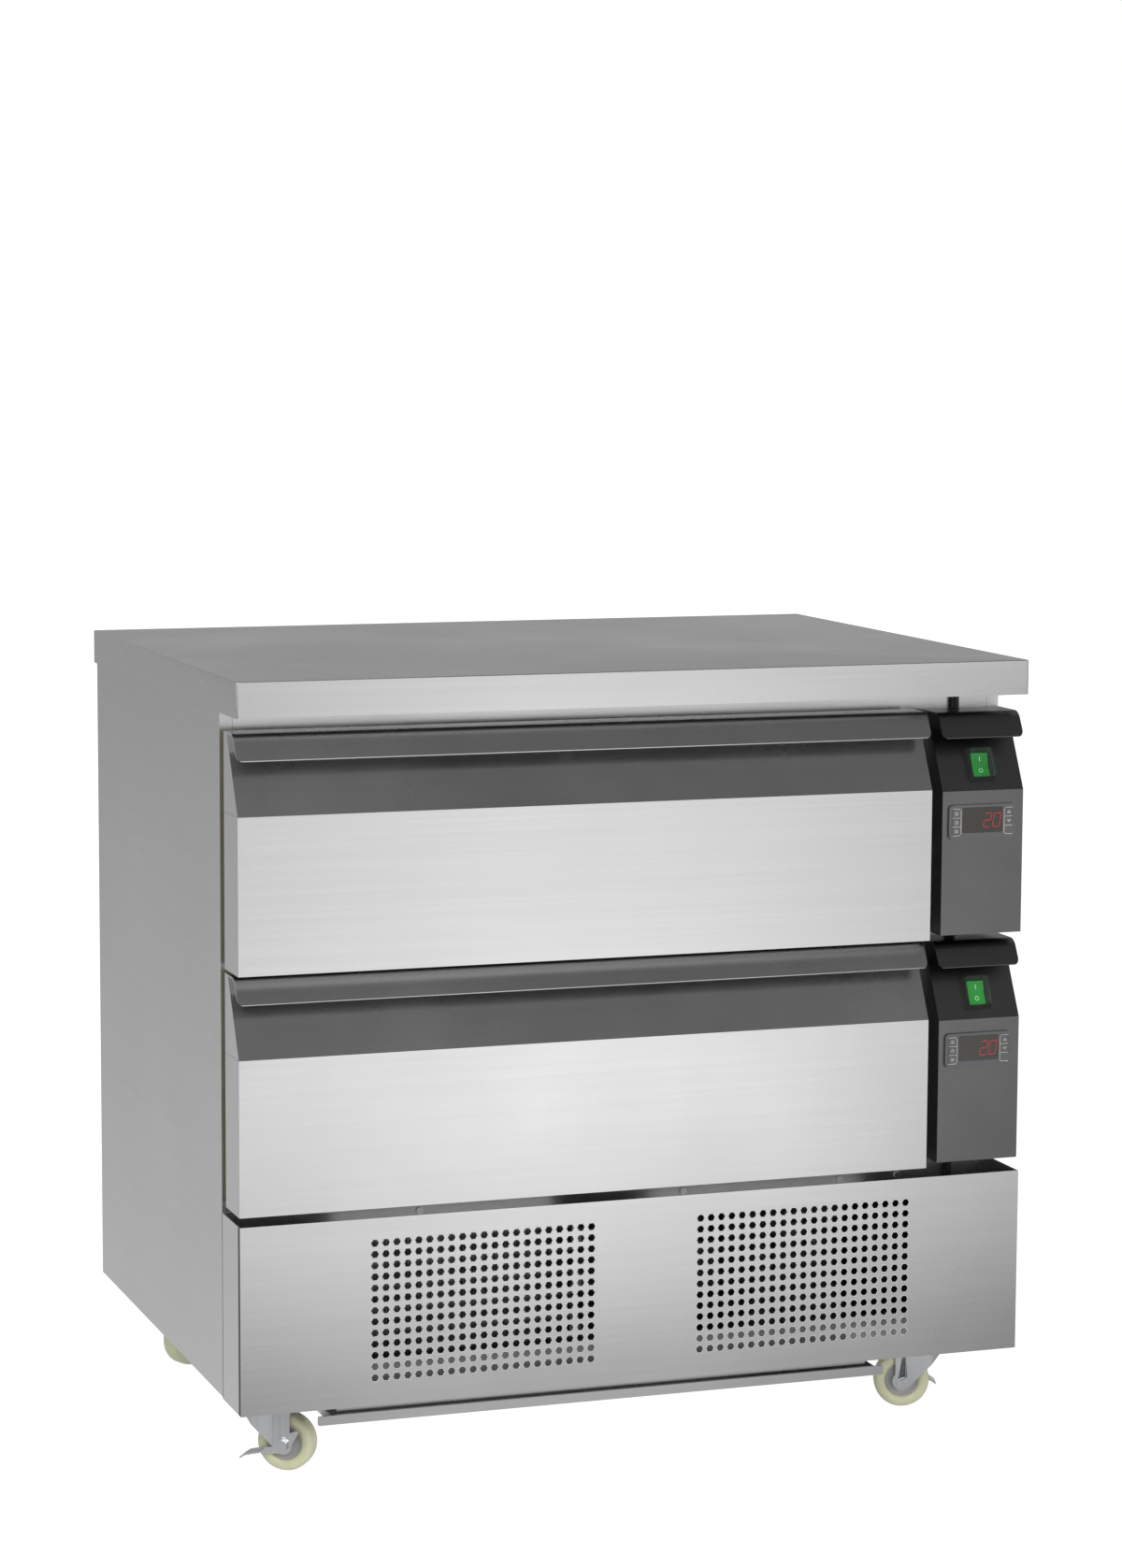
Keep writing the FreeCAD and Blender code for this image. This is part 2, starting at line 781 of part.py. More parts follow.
def controller_case(level):
    """The bezel on the housing's face, the case behind it, and pockets for keys and window."""
    x, z = controller_centre(level)
    fascia_front = housing_front - fascia_proud
    bezel = rounded_box(x - fascia_width / 2, x + fascia_width / 2, fascia_front,
                        housing_front, z - fascia_height / 2, z + fascia_height / 2,
                        fascia_corner, Vector(0, 1, 0))
    case = box(x - controller_body_width / 2, x + controller_body_width / 2, housing_front,
               housing_front + controller_body_depth,
               z - controller_body_height / 2, z + controller_body_height / 2)
    solid = join([bezel, case])
    for name in key_places(level):
        solid = solid.cut(key_block(level, name, key_clearance, fascia_front - 1,
                                    fascia_front + key_depth + key_travel + 0.1))
    return solid.cut(window_block(level, 0.1))


def window_block(level, margin):
    x, z = controller_centre(level)
    z += window_rise
    fascia_front = housing_front - fascia_proud
    return rounded_box(x - window_width / 2 - margin, x + window_width / 2 + margin,
                       fascia_front - margin, fascia_front + window_sheet,
                       z - window_height / 2 - margin, z + window_height / 2 + margin,
                       2.0, Vector(0, 1, 0))


def controller_key(level, name):
    fascia_front = housing_front - fascia_proud
    return key_block(level, name, 0, fascia_front - key_proud, fascia_front + key_depth)


def rocker_axis(level):
    base, along, outward = switch_frame_of(level)
    return base - outward * 1.0


def rocker(level):
    """The lit rocker: a shallow V tilted to its pressed side, with a barrel on its pivot."""
    pivot = rocker_axis(level)
    along, outward = switch_frame_of(level)[1:]
    tilt = math.radians(rocker_tilt)
    half = rocker_height / 2
    shape_points = [(-half, 4.6), (0, 3.0), (half, 4.6), (half, -1.0), (4.0, -2.4), (-4.0, -2.4),
                    (-half, -1.0)]
    corners = []
    for s, n in shape_points:
        turned_s = s * math.cos(tilt) - n * math.sin(tilt)
        turned_n = s * math.sin(tilt) + n * math.cos(tilt)
        place = pivot + along * turned_s + outward * turned_n
        corners.append(place - Vector(rocker_width / 2, 0, 0))
    section = Part.Face(Part.makePolygon(corners + corners[:1]))
    body = section.extrude(Vector(rocker_width, 0, 0))
    return body.cut(rod(pivot - Vector(rocker_width, 0, 0), Vector(1, 0, 0),
                        2 * rocker_width, 3.1))


def switch_frame(level):
    """The switch's bezel and case with the rocker's pin, under a clear splash boot."""
    bezel = rounded_on_slope(level, switch_width, switch_height, 0, switch_bezel, 2.5)
    case = on_slope(level, switch_body_width, switch_body_height, -switch_body_depth, 0.5)
    pocket = on_slope(level, rocker_width + 0.8, rocker_height + 3.0, -rocker_pocket,
                      switch_bezel + 1)
    frame = join([bezel, case]).cut(pocket)
    pin = rod(rocker_axis(level) - Vector(rocker_width / 2 + 1.2, 0, 0), Vector(1, 0, 0),
              rocker_width + 2.4, 3.0)
    frame = join([frame, pin])
    outer = rounded_on_slope(level, boot_width, boot_height, switch_bezel,
                             switch_bezel + boot_rise, 3.0)
    inner = rounded_on_slope(level, boot_width - 2 * boot_skin, boot_height - 2 * boot_skin,
                             switch_bezel - 1, switch_bezel + boot_rise - boot_skin, 2.2)
    return group([frame, outer.cut(inner)])


def base_pan():
    """The compressor bay's floor, the front rail under it and the drip tray's runners."""
    half = body_half - panel_sheet - seat_gap
    y0 = face + panel_sheet + seat_gap
    y1 = rear - panel_sheet - seat_gap
    floor = pan(-half, half, y0, y1, base_level, base_level + 22.0, 2.0, "z1")
    for index in range(4):
        centre = castor_centre(index)
        for dx, dy in bolt_offsets():
            floor = floor.cut(rod(Vector(centre.x + dx, centre.y + dy, base_level - 1),
                                  Vector(0, 0, 1), 6.0, 8.4))
    rail_y = front + tray_setback + 8.0
    rail_top = grille_bottom
    rail = box(tray_left + 8.0, tray_right - 8.0, rail_y, rail_y + 1.5,
               tray_bottom + tray_height + 1.0, rail_top)
    shelf = box(tray_left + 8.0, tray_right - 8.0, rail_y, y0 + 24.0,
                rail_top, rail_top + 1.5)
    riser = box(tray_left + 8.0, tray_right - 8.0, y0 + 22.5, y0 + 24.0,
                rail_top, base_level)
    pieces = [floor, join([rail, shelf, riser])]
    ledge_z = tray_bottom + tray_height - tray_sheet - running_gap
    for outer, sign in ((tray_left - tray_rim - running_gap, -1),
                        (tray_right + tray_rim + running_gap, 1)):
        leg = box(min(outer, outer + sign * 1.5), max(outer, outer + sign * 1.5),
                  y0 + 26.0, y0 + 26.0 + tray_length, ledge_z - 1.5, base_level)
        inner_edge = outer - sign * (tray_rim - 1.5)
        ledge = box(min(outer, inner_edge), max(outer, inner_edge),
                    y0 + 26.0, y0 + 26.0 + tray_length, ledge_z - 1.5, ledge_z)
        pieces.append(join([leg, ledge]))
    return group(pieces)


def drip_tray():
    """A shallow tray with an outward rim, and a deeper front lip to pull it by."""
    y0 = front + tray_setback
    top = tray_bottom + tray_height
    body = pan(tray_left, tray_right, y0, y0 + tray_length, tray_bottom, top,
               tray_sheet, "z1")
    pieces = [body]
    for edge, sign in ((tray_left, -1), (tray_right, 1)):
        rim = edge + sign * tray_rim
        pieces.append(box(min(edge, rim), max(edge, rim), y0 + 34.0, y0 + tray_length,
                          top - tray_sheet, top))
    pieces.append(rounded_box(tray_left - 15.0, tray_right + 10.0, y0 - 1.6, y0,
                              tray_bottom, top, 2.0, Vector(0, 1, 0)))
    return join(pieces)


def castor_centre(index):
    """The swivel axis of a castor: front left, front right, rear left, rear right."""
    x = castor_x if index in (1, 3) else -castor_x
    y = front + (castor_y_front if index < 2 else castor_y_rear)
    return Vector(x, y, 0)


def bolt_offsets():
    reach = castor_plate / 2 - 7.5
    return ((-reach, -reach), (-reach, reach), (reach, -reach), (reach, reach))


def castor_plates():
    """Four top plates, each with its raceway cup and kingpin."""
    plates = []
    top = base_level
    under = top - castor_plate_sheet
    crown_top = under - 3.5
    half = castor_plate / 2
    for index in range(4):
        c = castor_centre(index)
        plate = rounded_box(c.x - half, c.x + half, c.y - half, c.y + half, under, top,
                            6.0, Vector(0, 0, 1))
        cup = Part.makeCylinder(raceway_radius, 3.5 - running_gap,
                                Vector(c.x, c.y, crown_top + running_gap), Vector(0, 0, 1))
        pin_low = crown_top - crown_sheet - running_gap - 3.0
        pin = rod(Vector(c.x, c.y, pin_low), Vector(0, 0, 1), under - pin_low,
                  kingpin_diameter)
        pin_head = rod(Vector(c.x, c.y, pin_low), Vector(0, 0, 1), 3.0, 16.0)
        piece = join([plate, cup, pin, pin_head])
        for dx, dy in bolt_offsets():
            piece = piece.cut(rod(Vector(c.x + dx, c.y + dy, under - 1), Vector(0, 0, 1),
                                  castor_plate_sheet + 2, 8.4))
        plates.append(piece)
    return group(plates)


def castor_bolts():
    """Hexagon bolts and nuts that hold the castor plates to the base pan."""
    bolts = []
    under = base_level - castor_plate_sheet
    for index in range(4):
        c = castor_centre(index)
        for dx, dy in bolt_offsets():
            place = Vector(c.x + dx, c.y + dy, 0)
            head = hex_prism(place + Vector(0, 0, under - 5.3), 13.0, 5.3)
            shank = rod(place + Vector(0, 0, under), Vector(0, 0, 1), 14.0, 8.0)
            nut = hex_prism(place + Vector(0, 0, base_level + 2.0), 13.0, 6.5)
            bolts.append(join([head, shank, nut]))
    return bolts


def hex_prism(base, flats, height):
    radius = flats / math.sqrt(3)
    corners = []
    for corner in range(6):
        angle = math.radians(60 * corner + 30)
        corners.append(base + Vector(radius * math.cos(angle), radius * math.sin(angle), 0))
    plate = Part.Face(Part.makePolygon(corners + corners[:1]))
    return plate.extrude(Vector(0, 0, height))


def castor_local():
    """Heights of one castor: crown top, crown underside and axle."""
    crown_top = base_level - castor_plate_sheet - 3.5
    return crown_top, crown_top - crown_sheet, wheel_diameter / 2


def turn_castor(shape, index):
    """Moves a piece from the swivel axis at the origin to its castor, turned to trail."""
    c = castor_centre(index)
    placed = shape.copy()
    placed.rotate(Vector(0, 0, 0), Vector(0, 0, 1), castor_turns[index])
    placed.translate(c)
    return placed


def fork_plan(half, nose, z):
    """The fork seen from above: level legs at the wheel and a rounded nose at the swivel."""
    legs = castor_trail + 14.0
    fold = castor_trail - leg_flat
    cheek_x = nose * math.cos(math.radians(nose_spread))
    cheek_y = nose * math.sin(math.radians(nose_spread))
    start = Vector(legs, half, z)
    fold_left = Vector(fold, half, z)
    side_left = Vector(cheek_x, cheek_y, z)
    side_right = Vector(cheek_x, -cheek_y, z)
    fold_right = Vector(fold, -half, z)
    end = Vector(legs, -half, z)
    outline = [Part.LineSegment(start, fold_left), Part.LineSegment(fold_left, side_left),
               Part.Arc(side_left, Vector(-nose, 0, z), side_right),
               Part.LineSegment(side_right, fold_right), Part.LineSegment(fold_right, end),
               Part.LineSegment(end, start)]
    return Part.Face(Part.Wire([piece.toShape() for piece in outline]))


def fork_side():
    """The fork seen from the side: an upright rear edge, a round foot, a slanted nose."""
    crown_top, crown_under, axle_z = castor_local()
    trail = castor_trail
    nose_x = -crown_radius - 1.0
    nose_z = crown_under - fork_nose_drop
    reach = math.hypot(nose_x - trail, nose_z - axle_z)
    towards_nose = math.atan2(nose_z - axle_z, nose_x - trail)
    end_angle = towards_nose + math.acos(leg_radius / reach) - 2 * math.pi
    start_angle = math.acos(fork_edge / leg_radius)

    def on_foot(angle):
        return Vector(trail + leg_radius * math.cos(angle), -40.0,
                      axle_z + leg_radius * math.sin(angle))

    top_nose = Vector(nose_x, -40.0, crown_top)
    top_rear = Vector(trail + fork_edge, -40.0, crown_top)
    low_nose = Vector(nose_x, -40.0, nose_z)
    outline = [Part.LineSegment(top_nose, top_rear),
               Part.LineSegment(top_rear, on_foot(start_angle)),
               Part.Arc(on_foot(start_angle), on_foot((start_angle + end_angle) / 2),
                        on_foot(end_angle)),
               Part.LineSegment(on_foot(end_angle), low_nose),
               Part.LineSegment(low_nose, top_nose)]
    return Part.Face(Part.Wire([piece.toShape() for piece in outline]))


def fork_shape():
    """A pressed fork about the swivel axis; its wheel trails towards +X."""
    crown_top, crown_under, axle_z = castor_local()
    trail = castor_trail
    w = fork_half_width
    low = axle_z - leg_radius - 1.0
    height = crown_under - low
    outer = fork_plan(w, crown_radius, low).extrude(Vector(0, 0, height))
    hollow = fork_plan(w - fork_sheet, crown_radius - fork_sheet, low - 1)
    hollow = hollow.extrude(Vector(0, 0, height + 2))
    open_end = box(trail - 4.0, trail + 30.0, -w + fork_sheet, w - fork_sheet,
                   low - 1, crown_under + 1)
    walls = outer.cut(hollow).cut(open_end)
    walls = walls.common(fork_side().extrude(Vector(0, 80, 0)))
    crown = Part.makeCylinder(crown_radius, crown_sheet, Vector(0, 0, crown_under))
    bridge = fork_plan(w, crown_radius, crown_under).extrude(Vector(0, 0, crown_sheet))
    bridge = bridge.common(box(-crown_radius, trail + bridge_reach, -w, w, crown_under,
                               crown_top))
    fork = join([walls, crown, bridge])
    fork = fork.cut(rod(Vector(0, 0, crown_under - 1), Vector(0, 0, 1), crown_sheet + 2,
                        kingpin_bore))
    return fork.cut(rod(Vector(trail, -40, axle_z), Vector(0, 1, 0), 80, axle_diameter))


def axle_bolt(with_lever):
    """The wheel's axle: hexagon head at -Y, shank across the fork, nut at +Y."""
    axle_z = castor_local()[2]
    w = fork_half_width
    head_face = w + (lever_sheet + 2 * running_gap if with_lever else 0)
    trail = castor_trail
    shank = rod(Vector(trail, -head_face, axle_z), Vector(0, 1, 0), head_face + w + 8.0,
                axle_diameter)
    head = hex_prism(Vector(0, 0, 0), 13.0, 5.3)
    head.rotate(Vector(0, 0, 0), Vector(1, 0, 0), 90)
    head.translate(Vector(trail, -head_face, axle_z))
    nut = hex_prism(Vector(0, 0, 0), 13.0, 6.5)
    nut.rotate(Vector(0, 0, 0), Vector(1, 0, 0), 90)
    nut.translate(Vector(trail, w + 6.5, axle_z))
    return join([shank, head, nut])


def wheel_shape():
    """A nylon wheel with rounded shoulders and a recessed hub on each side."""
    axle_z = castor_local()[2]
    radius = wheel_diameter / 2
    half = wheel_width / 2
    hub_half = fork_half_width - fork_sheet - running_gap
    shoulder = 6.0
    bore = wheel_bore / 2

    def at(y, r):
        return Vector(castor_trail, y, axle_z + r)

    edges = []
    points = [at(-hub_half, bore), at(-hub_half, 9.0), at(-half + 4.0, 10.0),
              at(-half + 4.0, 17.0), at(-half, 19.5), at(-half, radius - shoulder)]
    for first, second in zip(points, points[1:]):
        edges.append(Part.LineSegment(first, second).toShape())
    diagonal = shoulder * (1 - math.sqrt(0.5))
    edges.append(Part.Arc(at(-half, radius - shoulder),
                          at(-half + diagonal, radius - diagonal),
                          at(-half + shoulder, radius)).toShape())
    edges.append(Part.LineSegment(at(-half + shoulder, radius),
                                  at(half - shoulder, radius)).toShape())
    edges.append(Part.Arc(at(half - shoulder, radius), at(half - diagonal, radius - diagonal),
                          at(half, radius - shoulder)).toShape())
    mirrored = [at(half, radius - shoulder), at(half, 19.5), at(half - 4.0, 17.0),
                at(half - 4.0, 10.0), at(hub_half, 9.0), at(hub_half, bore)]
    for first, second in zip(mirrored, mirrored[1:]):
        edges.append(Part.LineSegment(first, second).toShape())
    edges.append(Part.LineSegment(at(hub_half, bore), at(-hub_half, bore)).toShape())
    section = Part.Face(Part.Wire(edges))
    return section.revolve(Vector(castor_trail, 0, axle_z), Vector(0, 1, 0), 360)


def lever_shape():
    """A brake lever: a disc on the axle bolt, a claw over the wheel, an arm and a pedal."""
    z = castor_local()[2]
    x = castor_trail
    outer = -(fork_half_width + running_gap + lever_sheet)
    back = outer + lever_sheet
    tip = x - lever_length
    disc = rod(Vector(x, outer, z), Vector(0, 1, 0), lever_sheet, 20.0)
    arm = prism_y([(x + 2, z + 9), (x - 9, z - 2.5), (x - 24, z - 3), (x - 24, z - 12),
                   (x - 2, z - 9.5)], outer, back)
    claw = prism_y([(x - 3, z + 9), (x + 17, z + 17), (x + 19, z + 14.5), (x + 9.5, z - 1)],
                   outer, back)
    pedal = prism_y([(x - 19, z - 3), (tip + 6, z - 7), (tip, z - 11), (tip, z - 13.2),
                     (tip + 6, z - 9.2), (x - 19, z - 5.2)], back - 20.0, back)
    lever = join([disc, arm, claw, pedal])
    return lever.cut(rod(Vector(x, outer - 1, z), Vector(0, 1, 0), lever_sheet + 2,
                         axle_diameter + 0.1))


def compressor():
    """A sealed compressor: two domed shells, seam flange, feet, terminal box and stubs."""
    floor = base_level + 2.0
    cx = compressor_x
    cy = front + compressor_y
    foot_top = floor + 16.0
    seam = foot_top + 66.0
    top = foot_top + 142.0
    radius = compressor_radius
    dome = Part.makeCylinder(radius, top - foot_top, Vector(cx, cy, foot_top))
    dome = dome.makeFillet(28.0, level_edges(dome, top))
    dome = dome.makeFillet(18.0, level_edges(dome, foot_top))
    band = Part.makeCylinder(radius + 4.0, 6.0, Vector(cx, cy, seam - 3))
    feet = rounded_box(cx - 82, cx + 82, cy - 56, cy + 56, foot_top - 3, foot_top + 1,
                       12.0, Vector(0, 0, 1))
    solids = [dome, band, feet]
    for dx in (-68, 68):
        for dy in (-42, 42):
            solids.append(rod(Vector(cx + dx, cy + dy, floor), Vector(0, 0, 1), 13.0, 18.0))
    solids.append(rounded_box(cx - 30, cx + 30, cy - radius - 26, cy - radius + 12,
                              foot_top + 26, foot_top + 84, 5.0, Vector(0, 1, 0)))
    return join(solids)


def finned_block(x0, x1, y0, y1, z0, z1, tube_axis):
    """Thin fins across rows of tubes, with a plate at each end."""
    solids = []
    if tube_axis == "x":
        count = int((x1 - x0) / fin_pitch)
        for index in range(count + 1):
            x = x0 + index * fin_pitch
            solids.append(box(x, x + fin_sheet, y0, y1, z0, z1))
        rows = int((z1 - z0) / tube_pitch)
        for row in range(rows):
            z = z0 + tube_rise + tube_pitch * row
            for y in (y0 + (y1 - y0) * 0.3, y0 + (y1 - y0) * 0.7):
                solids.append(rod(Vector(x0 - 8.0, y, z), Vector(1, 0, 0),
                                  count * fin_pitch + 16.0, 8.0))
    else:
        count = int((y1 - y0) / (2 * fin_pitch))
        for index in range(count + 1):
            y = y0 + index * 2 * fin_pitch
            solids.append(box(x0, x1, y, y + fin_sheet, z0, z1))
        rows = int((z1 - z0) / tube_pitch)
        for row in range(rows):
            z = z0 + tube_rise + tube_pitch * row
            for x in (x0 + (x1 - x0) * 0.3, x0 + (x1 - x0) * 0.7):
                solids.append(rod(Vector(x, y0 - 8.0, z), Vector(0, 1, 0),
                                  count * 2 * fin_pitch + 16.0, 8.0))
    return join(solids)


def condenser_last_fin():
    count = int((condenser_right - condenser_left) / fin_pitch)
    return condenser_left + count * fin_pitch


def condenser():
    """The finned condenser behind the left perforations, with its two foot brackets."""
    y0 = front + condenser_front
    y1 = y0 + condenser_depth
    block = finned_block(condenser_left, condenser_right, y0, y1, condenser_low,
                         condenser_high, "x")
    floor = base_level + 2.0
    feet = [box(x, x + 20.0, y0 + 4.0, y1 - 4.0, floor, condenser_low)
            for x in (condenser_left, condenser_last_fin() + fin_sheet - 20.0)]
    return join([block] + feet)


def fan_blades(radius, hub, depth):
    """Four pitched blades on a hub, about the Z axis with its middle at the origin."""
    solids = [Part.makeCylinder(hub, depth, Vector(0, 0, -depth / 2))]
    for blade in range(4):
        plate = Part.makeBox(radius - 4.0, hub * 1.1, 1.6, Vector(4.0, -hub * 0.55, -0.8))
        plate.rotate(Vector(0, 0, 0), Vector(1, 0, 0), 28)
        plate.rotate(Vector(0, 0, 0), Vector(0, 0, 1), 90 * blade)
        solids.append(plate)
    return join(solids)


def condenser_fan_centre():
    x = (condenser_left + condenser_right) / 2
    z = (condenser_low + condenser_high) / 2
    return Vector(x, front + condenser_front + condenser_depth + 26.0, z)


def cold_fan_centre(level):
    z0, z1 = chamber_limits(level)[4:]
    return Vector(mouth_right + 16.0, front + cold_fan_y, (z0 + z1) / 2)


def condenser_fan():
    fan = fan_blades(fan_diameter / 2, 20.0, 16.0)
    fan.rotate(Vector(0, 0, 0), Vector(1, 0, 0), 90)
    fan.translate(condenser_fan_centre())
    shaft_hole = rod(condenser_fan_centre() - Vector(0, 20, 0), Vector(0, 1, 0), 40, 6.1)
    return fan.cut(shaft_hole)


def cold_fan(level):
    fan = fan_blades(cold_fan_diameter / 2, 15.0, 10.0)
    fan.rotate(Vector(0, 0, 0), Vector(0, 1, 0), 90)
    fan.translate(cold_fan_centre(level))
    shaft_hole = rod(cold_fan_centre(level) - Vector(20, 0, 0), Vector(1, 0, 0), 40, 6.1)
    return fan.cut(shaft_hole)


def fan_motors():
    """Three fan motors with their shafts and brackets."""
    c = condenser_fan_centre()
    motor = rod(c + Vector(0, 8.0 + running_gap, 0), Vector(0, 1, 0), 46.0, 62.0)
    shaft = rod(c - Vector(0, 8.0, 0), Vector(0, 1, 0), 30.0, 6.0)
    floor = base_level + 2.0
    bracket = box(c.x - 24, c.x + 24, c.y + 22.0, c.y + 40.0, floor, c.z)
    solids = [join([motor, shaft, bracket])]
    for level in ("lower", "upper"):
        c = cold_fan_centre(level)
        motor = rod(c + Vector(5.0 + running_gap, 0, 0), Vector(1, 0, 0), 40.0, 44.0)
        shaft = rod(c - Vector(5.0, 0, 0), Vector(1, 0, 0), 20.0, 6.0)
        arm = box(c.x + 22.0, chamber_right, c.y - 12, c.y + 12, c.z - 14, c.z + 14)
        solids.append(join([motor, shaft, arm]))
    return group(solids)


def evaporator_units():
    """For each chamber a duct cover with its fan port, and the finned coil behind it."""
    solids = []
    for level in ("lower", "upper"):
        z0, z1 = chamber_limits(level)[4:]
        y1 = chamber_limits(level)[3]
        cover = box(mouth_right, mouth_right + 1.2, chamber_front, y1, z0, z1)
        c = cold_fan_centre(level)
        cover = cover.cut(rod(Vector(mouth_right - 1, c.y, c.z), Vector(1, 0, 0), 4.0,
                              cold_fan_diameter + 8.0))
        for row in range(5):
            z = z0 + 30.0 + 28.0 * row
            cover = cover.cut(box(mouth_right - 1, mouth_right + 3, front + 520.0,
                                  front + 580.0, z, z + 8.0))
        solids.append(cover)
        block = finned_block(coil_left, coil_right, front + coil_front, front + coil_rear,
                             z0 + 24.0, z1 - 18.0, "y")
        foot = box(coil_left + 6, coil_right - 6, front + coil_front,
                   front + coil_rear - 9.0, z0, z0 + 24.0)
        solids.append(join([block, foot]))
    return group(solids)


def refrigerant_pipes():
    """Copper pipes from the compressor to the condenser and up to the cold side."""
    cx = compressor_x
    cy = front + compressor_y
    z = condenser_low + tube_rise + 4 * tube_pitch
    reach = compressor_radius + running_gap
    tube_y = front + condenser_front + condenser_depth * 0.7
    turn_x = cx - reach - 60.0
    tube_end = condenser_last_fin() + 8.0
    discharge = pipe_run([Vector(cx - reach, cy, z), Vector(turn_x, cy, z),
                          Vector(turn_x, tube_y, z), Vector(tube_end, tube_y, z)],
                         22.0, pipe_diameter)
    suction = pipe_run([Vector(cx, cy + reach, z), Vector(cx, cy + 150.0, z),
                        Vector(cx + 190.0, cy + 150.0, z),
                        Vector(cx + 190.0, cy + 150.0, bay_ceiling)], 24.0, pipe_diameter)
    return group([discharge, suction])


def wiring_box():
    """The electrical box in the bay, and the mains gland in the back panel."""
    floor = base_level + 2.0
    y0 = wiring_box_front
    body = rounded_box(338.0, 432.0, y0, y0 + 100.0, floor, wiring_box_top - 3.0, 4.0,
                       Vector(0, 0, 1))
    lid = rounded_box(338.0, 432.0, y0, y0 + 100.0, wiring_box_top - 3.0, wiring_box_top,
                      4.0, Vector(0, 0, 1))
    gland = mains_gland_rod(0)
    collar = rod(Vector(360.0, rear, 150.0), Vector(0, 1, 0), 4.0, 24.0)
    bore = rod(Vector(360.0, rear - 20.0, 150.0), Vector(0, 1, 0), 40.0, 8.0)
    return group([body, lid, join([gland, collar]).cut(bore)])


def build_body():
    parts["worktop"] = worktop()
    parts["side_panels"] = group([side_panel(-1), side_panel(1)])
    parts["back_panel"] = back_panel()
    parts["insulation_boards"] = insulation_slabs()
    parts["chamber_liners"] = group([chamber_liner("lower"), chamber_liner("upper")])
    parts["face_frame"] = face_frame()
    parts["grille_panel"] = grille_panel()
    parts["base_pan"] = base_pan()
    parts["castor_plates"] = castor_plates()
    parts["fasteners"] = group(worktop_screws(0) + rail_screws(0) + cover_screws(0)
                               + castor_bolts())
    parts["cabinet_slides"] = group([cabinet_slide(level, side)
                                     for level in ("lower", "upper") for side in (-1, 1)])


def build_controls():
    cases = []
    windows = []
    switches = []
    for level in ("upper", "lower"):
        parts[level + "_control_housing"] = control_housing(level)
        parts[level + "_rocker"] = rocker(level)
        cases.append(controller_case(level))
        windows.append(window_block(level, 0))
        switches.append(switch_frame(level))
        for name in key_places(level):
            parts[level + "_" + name + "_key"] = controller_key(level, name)
    parts["controller_cases"] = group(cases)
    parts["display_windows"] = group(windows)
    parts["switch_frames"] = group([solid for pair in switches for solid in pair.Solids])
    parts["wiring_conduit"] = wiring_conduit()


def build_drawers():
    for level in ("upper", "lower"):
        skin = drawer_skin_sheet(level)
        parts[level + "_drawer_skin"] = skin
        parts[level + "_drawer_core"] = drawer_core(level)
        parts[level + "_drawer_gasket"] = drawer_gasket(level)
        frame = drawer_frame(level)
        parts[level + "_drawer_frame"] = group(frame.Solids + [drawer_screw(level, 0)])
        parts[level + "_middle_slides"] = group([middle_slide(level, -1),
                                                 middle_slide(level, 1)])


def build_castors():
    names = ("front_left", "front_right", "rear_left", "rear_right")
    for index, name in enumerate(names):
        braked = index < 2
        fork = turn_castor(fork_shape(), index)
        axle = turn_castor(axle_bolt(braked), index)
        parts[name + "_fork"] = group([fork, axle])
        parts[name + "_wheel"] = turn_castor(wheel_shape(), index)
        if braked:
            parts[name + "_brake_lever"] = turn_castor(lever_shape(), index)
    parts["drip_tray"] = drip_tray()


def build_machinery():
    parts["compressor"] = compressor()
    parts["condenser"] = condenser()
    parts["condenser_fan"] = condenser_fan()
    parts["fan_motors"] = fan_motors()
    parts["evaporator_units"] = evaporator_units()
    parts["upper_cold_fan"] = cold_fan("upper")
    parts["lower_cold_fan"] = cold_fan("lower")
    parts["refrigerant_pipes"] = refrigerant_pipes()
    parts["wiring_box"] = wiring_box()


build_body()
build_controls()
build_drawers()
build_castors()
build_machinery()

os.makedirs("parts", exist_ok=True)
for part_name, part_shape in parts.items():
    part_shape.exportStep("parts/" + part_name + ".step")
print(len(parts), "nodes")
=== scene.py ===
import json
import math

import bmesh
import bpy
from mathutils import Matrix, Vector


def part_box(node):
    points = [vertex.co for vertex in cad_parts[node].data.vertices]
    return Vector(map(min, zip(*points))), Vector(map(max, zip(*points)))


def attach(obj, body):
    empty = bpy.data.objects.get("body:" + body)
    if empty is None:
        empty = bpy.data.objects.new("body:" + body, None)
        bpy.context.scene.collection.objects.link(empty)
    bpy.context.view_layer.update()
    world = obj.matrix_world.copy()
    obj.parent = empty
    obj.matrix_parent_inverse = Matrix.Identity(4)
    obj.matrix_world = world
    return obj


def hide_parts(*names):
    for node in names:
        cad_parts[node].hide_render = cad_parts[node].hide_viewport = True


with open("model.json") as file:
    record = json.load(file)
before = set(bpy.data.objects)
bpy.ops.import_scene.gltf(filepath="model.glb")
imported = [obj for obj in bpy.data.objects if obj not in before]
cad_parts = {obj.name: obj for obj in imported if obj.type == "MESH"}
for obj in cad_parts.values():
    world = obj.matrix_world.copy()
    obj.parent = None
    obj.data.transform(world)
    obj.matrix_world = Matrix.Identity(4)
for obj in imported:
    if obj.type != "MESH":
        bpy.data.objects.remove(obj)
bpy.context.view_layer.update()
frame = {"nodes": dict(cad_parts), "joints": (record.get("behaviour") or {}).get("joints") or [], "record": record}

MM = 0.001

# Camera, fitted to the photograph's straight edges
CAMERA_PLACE = Vector((-1.4704, -4.2578, 1.2585))
CAMERA_YAW = math.radians(19.297)
CAMERA_PITCH = math.radians(7.013)
CAMERA_ROLL = math.radians(0.279)
CAMERA_LENS = 91.33

